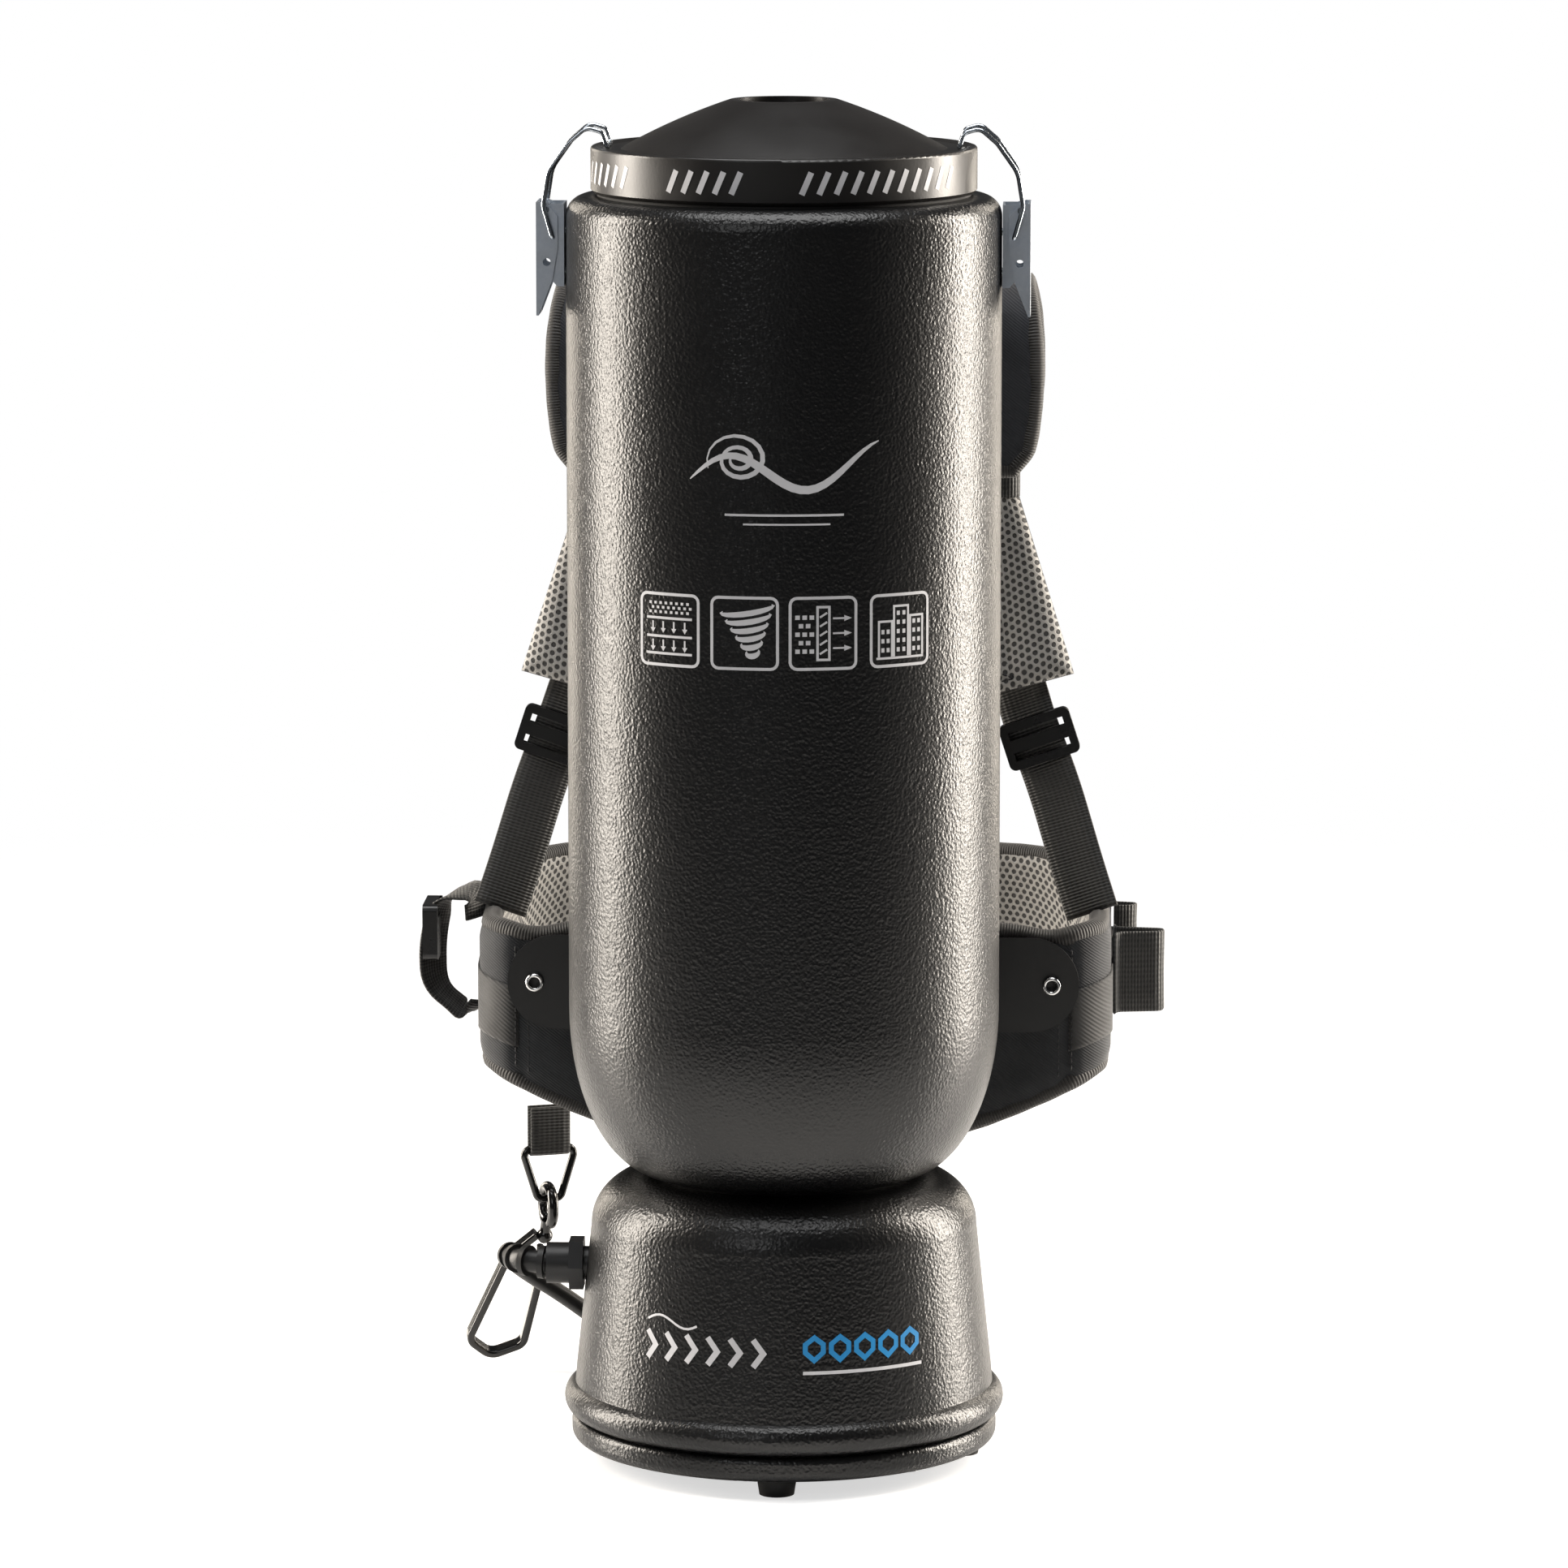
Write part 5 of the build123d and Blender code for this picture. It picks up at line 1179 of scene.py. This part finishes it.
# ---- Harness -------------------------------------------------------------------------
@dataclass
class ShoulderPad:
    """The padded arch over one shoulder."""

    side: Side
    near_y: float = 120.0
    far_y: float = 181.0
    arch_z: float = 517.0
    arch_r: float = 27.0
    low_z: float = 430.0
    join_z: float = 421.0
    inner_x: float = 48.0
    thick: float = 8.4
    tape: float = 8.0
    band_x: float = 75.5
    band_y: float = 177.6
    band_z: float = 422.0

    def line(self) -> list[tuple[float, float]]:
        """The arch's middle line in side view, from behind the canister to the chest.

        Returns:
            Its (y, z) points.
        """
        points = [(self.near_y, mix(self.low_z, self.arch_z - self.arch_r, k / 12)) for k in range(12)]
        for cy, start in ((self.near_y + self.arch_r, 180), (self.far_y - self.arch_r, 90)):
            for k in range(9):
                turn = math.radians(start - 90 * k / 8)
                points.append((cy + self.arch_r * math.cos(turn),
                               self.arch_z - self.arch_r + self.arch_r * math.sin(turn)))
        last = self.arch_z - self.arch_r
        points += [(mix(self.far_y, self.far_y - 3.5, k / 12), mix(last, self.join_z, k / 12))
                   for k in range(1, 13)]
        return points

    def outer_x(self, z: float) -> float:
        """How far out the pad reaches.

        Args:
            z: the height, mm.

        Returns:
            The place across, mm.
        """
        swell = 13.5 * math.sqrt(max(0.0, 1 - ((z - 478) / 52) ** 2))
        return 101.0 + swell * smooth((z - 424) / 18)

    def surface(self, u: float, v: float) -> Vector:
        """The pad's middle surface.

        Args:
            u: share along the arch.
            v: share across, from the neck outwards.

        Returns:
            The point in metres.
        """
        line = self.line()
        place = u * (len(line) - 1)
        k = min(int(place), len(line) - 2)
        y, z = (mix(a, b, place - k) for a, b in zip(line[k], line[k + 1]))
        x = mix(self.inner_x, self.outer_x(z) - 1.0, v)
        return at(self.side.value * x, y, z)

    def thickness(self, u: float, v: float) -> float:
        """Crowned over the middle and pressed flat under the tape.

        Args:
            u: share along the arch.
            v: share across, from the neck outwards.

        Returns:
            The whole thickness in metres.
        """
        edge = min(1.0, 6.0 * min(v, 1 - v), 14.0 * min(u, 1 - u))
        return (2.6 + (self.thick - 2.6) * math.sqrt(max(0.0, edge))) / 1000

    def build(self) -> None:
        """Fill the pad, bind its edge and band its lower end."""
        word = self.side.word
        slack = padded_sheet(f"shoulder_pad_{word}_cover", self.surface, (56, 20), self.thickness,
                             [PAD_TWILL])
        body = puff(slack, voxel=0.004, pressure=3.0, cap=0.0022, finish=PAD_TWILL)
        tape = bound_edge(f"shoulder_pad_{word}_binding", self.surface, (110, 24), self.tape, 8.0)
        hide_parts(f"shoulder_pad_{word}")
        for piece in (body, tape):
            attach(piece, "body")
        self.band()

    def band(self) -> None:
        """The webbing band over the seam between the pad and its mesh tail."""
        path = []
        for k in range(41):
            turn = math.tau * k / 40
            along = math.copysign(abs(math.cos(turn)) ** 0.25, math.cos(turn))
            out = math.copysign(abs(math.sin(turn)) ** 0.7, math.sin(turn))
            across, deep = self.band_x + 27.0 * along, self.band_y + 6.4 * out
            path.append(at(self.side.value * across, deep, self.band_z))
        piece = ribbon(f"shoulder_band_{self.side.word}", path, Vector((0, 0, 1)), 16.0, 1.2, WEBBING)
        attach(piece, "body")


@dataclass
class ChestPad:
    """The mesh-faced tail of a shoulder pad, with its sewn box."""

    side: Side
    top: tuple[float, float, float] = (52.0, 100.5, 420.5)
    low_in: tuple[float, float] = (66.0, 318.0)
    low_out: tuple[float, float] = (128.5, 334.0)
    y_top: float = 177.5
    y_low: float = 150.0
    thick: float = 9.0

    def surface(self, u: float, v: float) -> Vector:
        """The pad's middle surface.

        Args:
            u: share from the top to the bottom.
            v: share from the inside outwards.

        Returns:
            The point in metres.
        """
        inner, outer, z_top = self.top
        x = mix(mix(inner, outer, v), mix(self.low_in[0], self.low_out[0], v), u)
        z = mix(z_top, mix(self.low_in[1], self.low_out[1], v), u)
        y = self.y_top - (self.y_top - self.y_low) * (z_top - z) / (z_top - 320.0)
        gather = math.exp(-u * 7) * 1.1 * math.sin(v * 23.0) + 0.9 * math.sin(v * 9 + u * 5) * u
        return at(self.side.value * x, y + gather, z)

    def thickness(self, u: float, v: float) -> float:
        """Full in the middle, thin where it is sewn.

        Args:
            u: share from the top to the bottom.
            v: share from the inside outwards.

        Returns:
            The whole thickness in metres.
        """
        edge = min(1.0, 9.0 * min(v, 1 - v), 12.0 * min(u + 0.02, 1 - u))
        box = max(abs(v - 0.3) / 0.26, abs(u - 0.83) / 0.115)
        pressed = 1 - 0.35 * math.exp(-((box - 1) * 6) ** 2)
        return (2.2 + (self.thick - 2.2) * math.sqrt(max(0.0, edge)) * pressed) / 1000

    def on_face(self, u: float, v: float, gap_mm: float) -> Vector:
        """A point just off the near face.

        Args:
            u: share from the top to the bottom.
            v: share from the inside outwards.
            gap_mm: how far off the face.

        Returns:
            The point in metres.
        """
        spot = self.surface(u, v)
        return spot + Vector((0, -1, -0.26)).normalized() * (self.thickness(u, v) / 2 + gap_mm / 1000)

    def build(self) -> None:
        """Make the pad, its dark piping and its sewn box."""
        word = self.side.word
        body = padded_sheet(f"chest_pad_{word}_mesh", self.surface, (64, 34), self.thickness, [MESH_CLOTH])
        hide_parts(f"chest_pad_{word}")
        piping = bound_edge(f"chest_pad_{word}_piping", self.surface, (64, 34), 1.8, 2.6, 0.05)
        corners = [(0.71, 0.08), (0.71, 0.5), (0.94, 0.58), (0.95, 0.06)]
        seams = list(zip(corners, corners[1:] + corners[:1]))
        seams += [(corners[0], corners[2]), (corners[1], corners[3])]
        box = [[self.on_face(mix(a[0], b[0], k / 8), mix(a[1], b[1], k / 8), 0.2) for k in range(9)]
               for a, b in seams]
        sewn = stitches(f"chest_pad_{word}_sewn_box", box)
        for piece, place in ((body, "air_mesh"), (piping, "pad_fabric"), (sewn, "pad_fabric")):
            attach(piece, "body")


@dataclass
class PlateEyelets:
    """Chromed tubular rivets through the belt plate, rolled over in front and washered behind, each bore
    closed a little way in by a dead matt black disc that is painted shade.
    """

    x: float = 119.4
    z: float = 196.0
    front_y: float = 100.0
    back_y: float = 117.9

    def build(self) -> None:
        """Turn both rivets and put them in place."""
        back = self.back_y - self.front_y
        profile = [(0.0, 0.9), (2.1, 0.9), (2.35, 0.2), (2.5, -0.5), (2.9, -0.95), (3.4, -1.05),
                   (3.9, -0.8), (4.3, -0.2), (4.4, 0.5), (4.3, 1.9), (2.3, 2.1), (2.3, back - 1.6),
                   (4.1, back - 1.4), (4.1, back - 0.2), (0.0, back)]
        steps = 32
        verts, faces, slots = [], [], []
        for side in (-1, 1):
            first = len(verts)
            for radius, depth in profile:
                for k in range(steps):
                    turn = math.tau * k / steps
                    verts.append(at(side * self.x + radius * math.cos(turn), self.front_y + depth,
                                    self.z + radius * math.sin(turn)))
            for ring in range(len(profile) - 1):
                for k in range(steps):
                    a, b = first + ring * steps + k, first + ring * steps + (k + 1) % steps
                    faces.append((a, a + steps, b + steps, b))
                    # the bore's floor and inner wall take the dead matt black finish, as painted shade for
                    # the hole
                    slots.append(0 if ring > 1 else 1)
        piece = to_object("belt_plate_eyelets", verts, faces, [CHROME, RUBBER_AND_BORE_SHADE], slots)
        weld(piece)
        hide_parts("belt_rivets")
        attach(piece, "body")


@dataclass
class WaistBelt:
    """The padded waist loop with its mesh lining, side wings and bound edges."""

    near_y: float = 104.1
    far_y: float = 250.0
    half_w: float = 147.0
    thick: float = 12.0
    near_r: float = 23.0
    far_r: float = 62.0
    low_z: float = 112.0
    side_low_z: float = 158.0
    far_low_z: float = 188.0
    near_top_z: float = 224.0
    far_top_z: float = 240.0
    buckle_half: float = 30.6
    tape: float = 9.0
    wing_back_y: float = 168.0  # the overlay's back end
    wing_front_x: float = 127.0  # the overlay's front end

    def plan(self) -> list[tuple[float, float]]:
        """The loop's middle line seen from above, from buckle to buckle by the right side.

        Returns:
            Its (x, y) points.
        """
        half, t = self.half_w - self.thick / 2, self.thick / 2
        near, far = self.near_y + t, self.far_y - t
        near_r, far_r = self.near_r - t, self.far_r - t
        points = [(mix(self.buckle_half, half - far_r, k / 8), far) for k in range(8)]
        for cx, cy, radius, start, steps in (
            (half - far_r, far - far_r, far_r, 90, 14), (half - near_r, near + near_r, near_r, 0, 8)
        ):
            for k in range(steps + 1):
                turn = math.radians(start - 90 * k / steps)
                points.append((cx + radius * math.cos(turn), cy + radius * math.sin(turn)))
        points += [(mix(half - near_r, 0, k / 16), near) for k in range(1, 17)]
        return points + [(-x, y) for x, y in reversed(points[:-1])]

    def along(self, u: float) -> tuple[float, float]:
        """The plan point at an even share of the loop's length.

        Args:
            u: the share.

        Returns:
            Its (x, y) place, mm.
        """
        points = self.plan()
        lengths = [math.dist(a, b) for a, b in zip(points, points[1:])]
        left = u * sum(lengths)
        for (a, b), length in zip(zip(points, points[1:]), lengths):
            if left <= length:
                return mix(a[0], b[0], left / length), mix(a[1], b[1], left / length)
            left -= length
        return points[-1]

    def heights(self, x: float, y: float) -> tuple[float, float]:
        """The belt's lower and upper edge at a plan point.

        Args:
            x: plan place across, mm.
            y: plan place towards the wearer, mm.

        Returns:
            The lower and the upper height, mm.
        """
        back = (y - self.near_y) / (self.far_y - self.near_y)
        arc = self.low_z + (self.side_low_z - self.low_z) * (x / (self.half_w + 4)) ** 2
        low = max(arc, self.low_z - 5 + (self.far_low_z - self.low_z + 5) * smooth((back - 0.22) / 0.78))
        top = mix(self.near_top_z, self.far_top_z, smooth(back))
        dip = 3.5 * math.exp(-((abs(x) - 118) / 12) ** 2) * (1 - smooth(back * 5))
        return low + 1.2, top - 1.2 - dip

    def surface(self, u: float, v: float) -> Vector:
        """The belt's middle surface.

        Args:
            u: share round the loop.
            v: share from the lower edge up.

        Returns:
            The point in metres.
        """
        x, y = self.along(u)
        low, top = self.heights(x, y)
        return at(x, y, mix(low, top, v))

    def thickness(self, u: float, v: float) -> float:
        """Padding that is drawn in by the upright seams and by both edges.

        Args:
            u: share round the loop.
            v: share from the lower edge up.

        Returns:
            The whole thickness in metres.
        """
        x, y = self.along(u)
        edge = min(1.0, 7.0 * min(v, 1 - v), 40.0 * min(u, 1 - u))
        seam = 0.0
        if y < self.near_y + self.thick:
            seam = max(math.exp(-((abs(x) - 125.5) / 2.2) ** 2), 0.6 * math.exp(-(x / 2.5) ** 2))
        elif y < self.far_y - self.thick:
            seam = 0.8 * math.exp(-((y - 172) / 2.4) ** 2)
        return (3.0 + (self.thick - 3.4) * math.sqrt(max(0.0, edge)) * (1 - 0.45 * seam)) / 1000

    def wing(self, side: Side) -> bpy.types.Object:
        """The pack-cloth overlay on one wing, hemmed along its curved top.

        Args:
            side: which wing.

        Returns:
            The object.
        """
        shares = [k / 2000 for k in range(2001)]
        start = next(s for s in shares if self.along(s)[1] < self.wing_back_y)
        end = next(s for s in shares[int(start * 2000):]
                   if self.along(s)[1] < self.near_y + 8 and self.along(s)[0] < self.wing_front_x)

        def outside(u: float, v: float) -> Vector:
            """The overlay's surface, just off the belt's outer face.

            Args:
                u: share from its back end to its front end.
                v: share from its lower edge up.

            Returns:
                The point in metres.
            """
            share = mix(start, end, u)
            share = share if side is Side.RIGHT else 1 - share
            low, high = 0.25, 0.62 + 0.16 * (1 - u) ** 1.5
            spot = self.surface(share, mix(low, high, v))
            step = 0.002
            way = (self.surface(share + step, 0.5) - self.surface(share - step, 0.5)).normalized()
            out = way.cross(Vector((0, 0, 1))) * (-1)
            return spot + out * (self.thickness(share, mix(low, high, v)) / 2 + 0.0003)

        name = f"belt_wing_{side.word}"
        return padded_sheet(name, outside, (40, 14), lambda u, v: 0.0011, [PACKCLOTH])

    def build(self) -> None:
        """Make the loop, its tape, its wings and the seams beside the plate."""
        body = padded_sheet("waist_belt_cover", self.surface, (230, 26), self.thickness,
                            [MESH_CLOTH, BELT_TWILL])
        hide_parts("waist_belt")
        tape = bound_edge("waist_belt_binding", self.surface, (300, 20), self.tape, 9.5)
        pieces = [body, tape, self.wing(Side.RIGHT), self.wing(Side.LEFT)]
        rows = []
        for x in (-128.5, -122.5, 122.5, 128.5):
            near = self.near_y + (0.1 if abs(x) > self.half_w - self.near_r else -0.1)
            low, top = self.heights(x, self.near_y + self.thick / 2)
            rows.append([at(x, near + 0.9, mix(low + 9, top - 9, k / 12)) for k in range(13)])
        pieces.append(stitches("waist_belt_seams", rows))
        for piece in pieces:
            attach(piece, "body")


@dataclass
class BackPad:
    """The channelled pad between the frame and the wearer's back."""

    near_y: float = 104.1
    thick: float = 9.0
    half_w: float = 74.0
    low_z: float = 237.0
    top_z: float = 497.0
    corner: float = 28.0

    def surface(self, u: float, v: float) -> Vector:
        """The pad's middle surface, a rectangle whose rim is rounded at its corners.

        Args:
            u: share up the pad.
            v: share across it.

        Returns:
            The point in metres.
        """
        z = mix(self.low_z, self.top_z, u)
        over = max(0.0, self.corner - min(z - self.low_z, self.top_z - z))
        rise = math.sqrt(max(0.0, self.corner**2 - over**2))
        half = self.half_w - self.corner + rise if over else self.half_w
        return at(mix(-half, half, v), self.near_y + self.thick / 2, z)

    def thickness(self, u: float, v: float) -> float:
        """Soft bars between sewn channels.

        Args:
            u: share up the pad.
            v: share across it.

        Returns:
            The whole thickness in metres.
        """
        edge = min(1.0, 8.0 * min(v, 1 - v), 10.0 * min(u, 1 - u))
        bars = 0.55 + 0.45 * abs(math.sin(u * 6 * math.pi)) ** 0.5
        spine = 1 - 0.4 * math.exp(-((v - 0.5) / 0.03) ** 2)
        return (1.8 + (self.thick - 2.6) * math.sqrt(max(0.0, edge)) * bars * spine) / 1000

    def build(self) -> None:
        """Make the mesh-faced pad and its tape."""
        body = padded_sheet("back_pad_cover", self.surface, (120, 40), self.thickness,
                            [PAD_TWILL, MESH_CLOTH])
        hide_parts("back_pad")
        tape = bound_edge("back_pad_binding", self.surface, (90, 24), 7.0, 6.0)
        for piece in (body, tape):
            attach(piece, "body")


@dataclass
class Webbing:
    """The flat webbing: shoulder straps, the waist tail, the side loops and the hook's tab."""

    width: float = 25.0
    thick: float = 1.7
    belt_side_x: float = 148.1

    def shoulder_strap(self, side: Side) -> bpy.types.Object:
        """One strap from the mesh pad through the ladder lock to the belt.

        Args:
            side: which side of the harness.

        Returns:
            The strap.
        """
        corners = [(95.0, 168.5, 350.0), (103.5, 161.0, 327.0), (108.6, 151.0, 311.0),
                   (119.5, 149.4, 283.0), (131.0, 142.5, 245.0), (138.0, 137.5, 224.0)]
        path = rounded([at(side.value * x, y, z) for x, y, z in corners], 14)
        across = Vector((side.value * 1.0, -0.12, 0.3))
        piece = ribbon(f"shoulder_strap_{side.word}", path, across, self.width, self.thick, WEBBING, 0.5)
        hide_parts(f"strap_webbing_{side.word}")
        return piece

    def tail(self) -> bpy.types.Object:
        """The loose end of the waist strap, folded through its adjuster.

        Returns:
            The strap.
        """
        x, reach = -self.belt_side_x, -171.0
        corners = [(x, 146.0, 219.0), (x - 0.8, 146.0, 232.0), (reach + 5, 145.0, 228.5),
                   (reach + 0.4, 144.0, 208.0), (reach + 1, 143.0, 187.0), (x - 6, 143.5, 173.0),
                   (x - 0.3, 143.5, 179.5)]
        path = rounded([at(*corner) for corner in corners], 9)
        piece = ribbon("waist_tail_strap", path, lambda s: Vector((0.42, 0.88, 0.16 * math.sin(s * 7))),
                       24.0, self.thick, WEBBING, 0.7)
        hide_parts("tail_strap")
        return piece

    def side_loops(self) -> list[bpy.types.Object]:
        """The wide and the narrow loop on the right of the belt.

        Returns:
            The two pieces.
        """
        x = self.belt_side_x
        wide = [(x, 133.5), (x + 1.5, 139.5), (170.0, 142.6), (171.2, 149.6), (x + 1, 153.4), (x, 159.5)]
        slim = [(x, 165.5), (x + 9, 167.6), (x + 10.4, 174.0), (x, 176.4)]
        up = Vector((0, 0, 1))
        made = []
        for name, corners, z, width, cut in (("belt_loop_wide", wide, 196.0, 38.0, 4),
                                             ("belt_loop_slim", slim, 214.0, 18.0, 3)):
            path = rounded([at(*corner, z) for corner in corners], cut)
            made.append(ribbon(name, path, up, width, self.thick, WEBBING, 0.4))
        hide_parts("webbing_loops")
        return made

    def hook_tab(self) -> bpy.types.Object:
        """The folded tab under the belt that carries the ring.

        Returns:
            The tab.
        """
        low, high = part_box("hook_tab")
        middle = (low + high) / 2
        across = Vector((1, 0.35, 0)).normalized()
        out = Vector((0.35, -1, 0)).normalized()
        top, bottom, radius = high[2], low[2] + 0.0028, 0.0029
        crest = Vector((middle.x, middle.y, top))
        path = [crest + out * radius]
        for k in range(13):
            turn = math.pi * k / 12
            path.append(Vector((middle.x, middle.y, bottom + 0.0012 - radius * math.sin(turn)))
                        + out * (radius * math.cos(turn)))
        path.append(crest - out * radius)
        piece = ribbon("hook_webbing_tab", path, across, 19.0, 1.5, WEBBING)
        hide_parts("hook_tab")
        return piece

    def build(self) -> None:
        """Make every flat strap."""
        pieces = [self.shoulder_strap(side) for side in Side]
        pieces += [self.tail(), self.hook_tab(), *self.side_loops()]
        for piece in pieces:
            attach(piece, "body")


def main() -> None:
    """Build the studio, the lead, the finishes, the printing and the harness."""
    logging.basicConfig(level=logging.INFO, format="%(name)s: %(message)s")
    studio = Studio()
    studio.place_camera()
    Pigtail().build()
    LOG.info("camera and lead placed")
    studio.light_up()
    studio.lay_floor()
    for finish, nodes in NODE_FINISHES.items():
        dress(finish, *nodes)
    LOG.info("frame dressed with %d finishes", len(NODE_FINISHES))
    PrintedMarks().build()
    LOG.info("marks printed")
    for side in Side:
        ShoulderPad(side).build()
        ChestPad(side).build()
    LOG.info("shoulder and chest pads filled")
    WaistBelt().build()
    PlateEyelets().build()
    BackPad().build()
    Webbing().build()
    LOG.info("belt, back pad and webbing made")


if __name__ == "__main__":
    main()
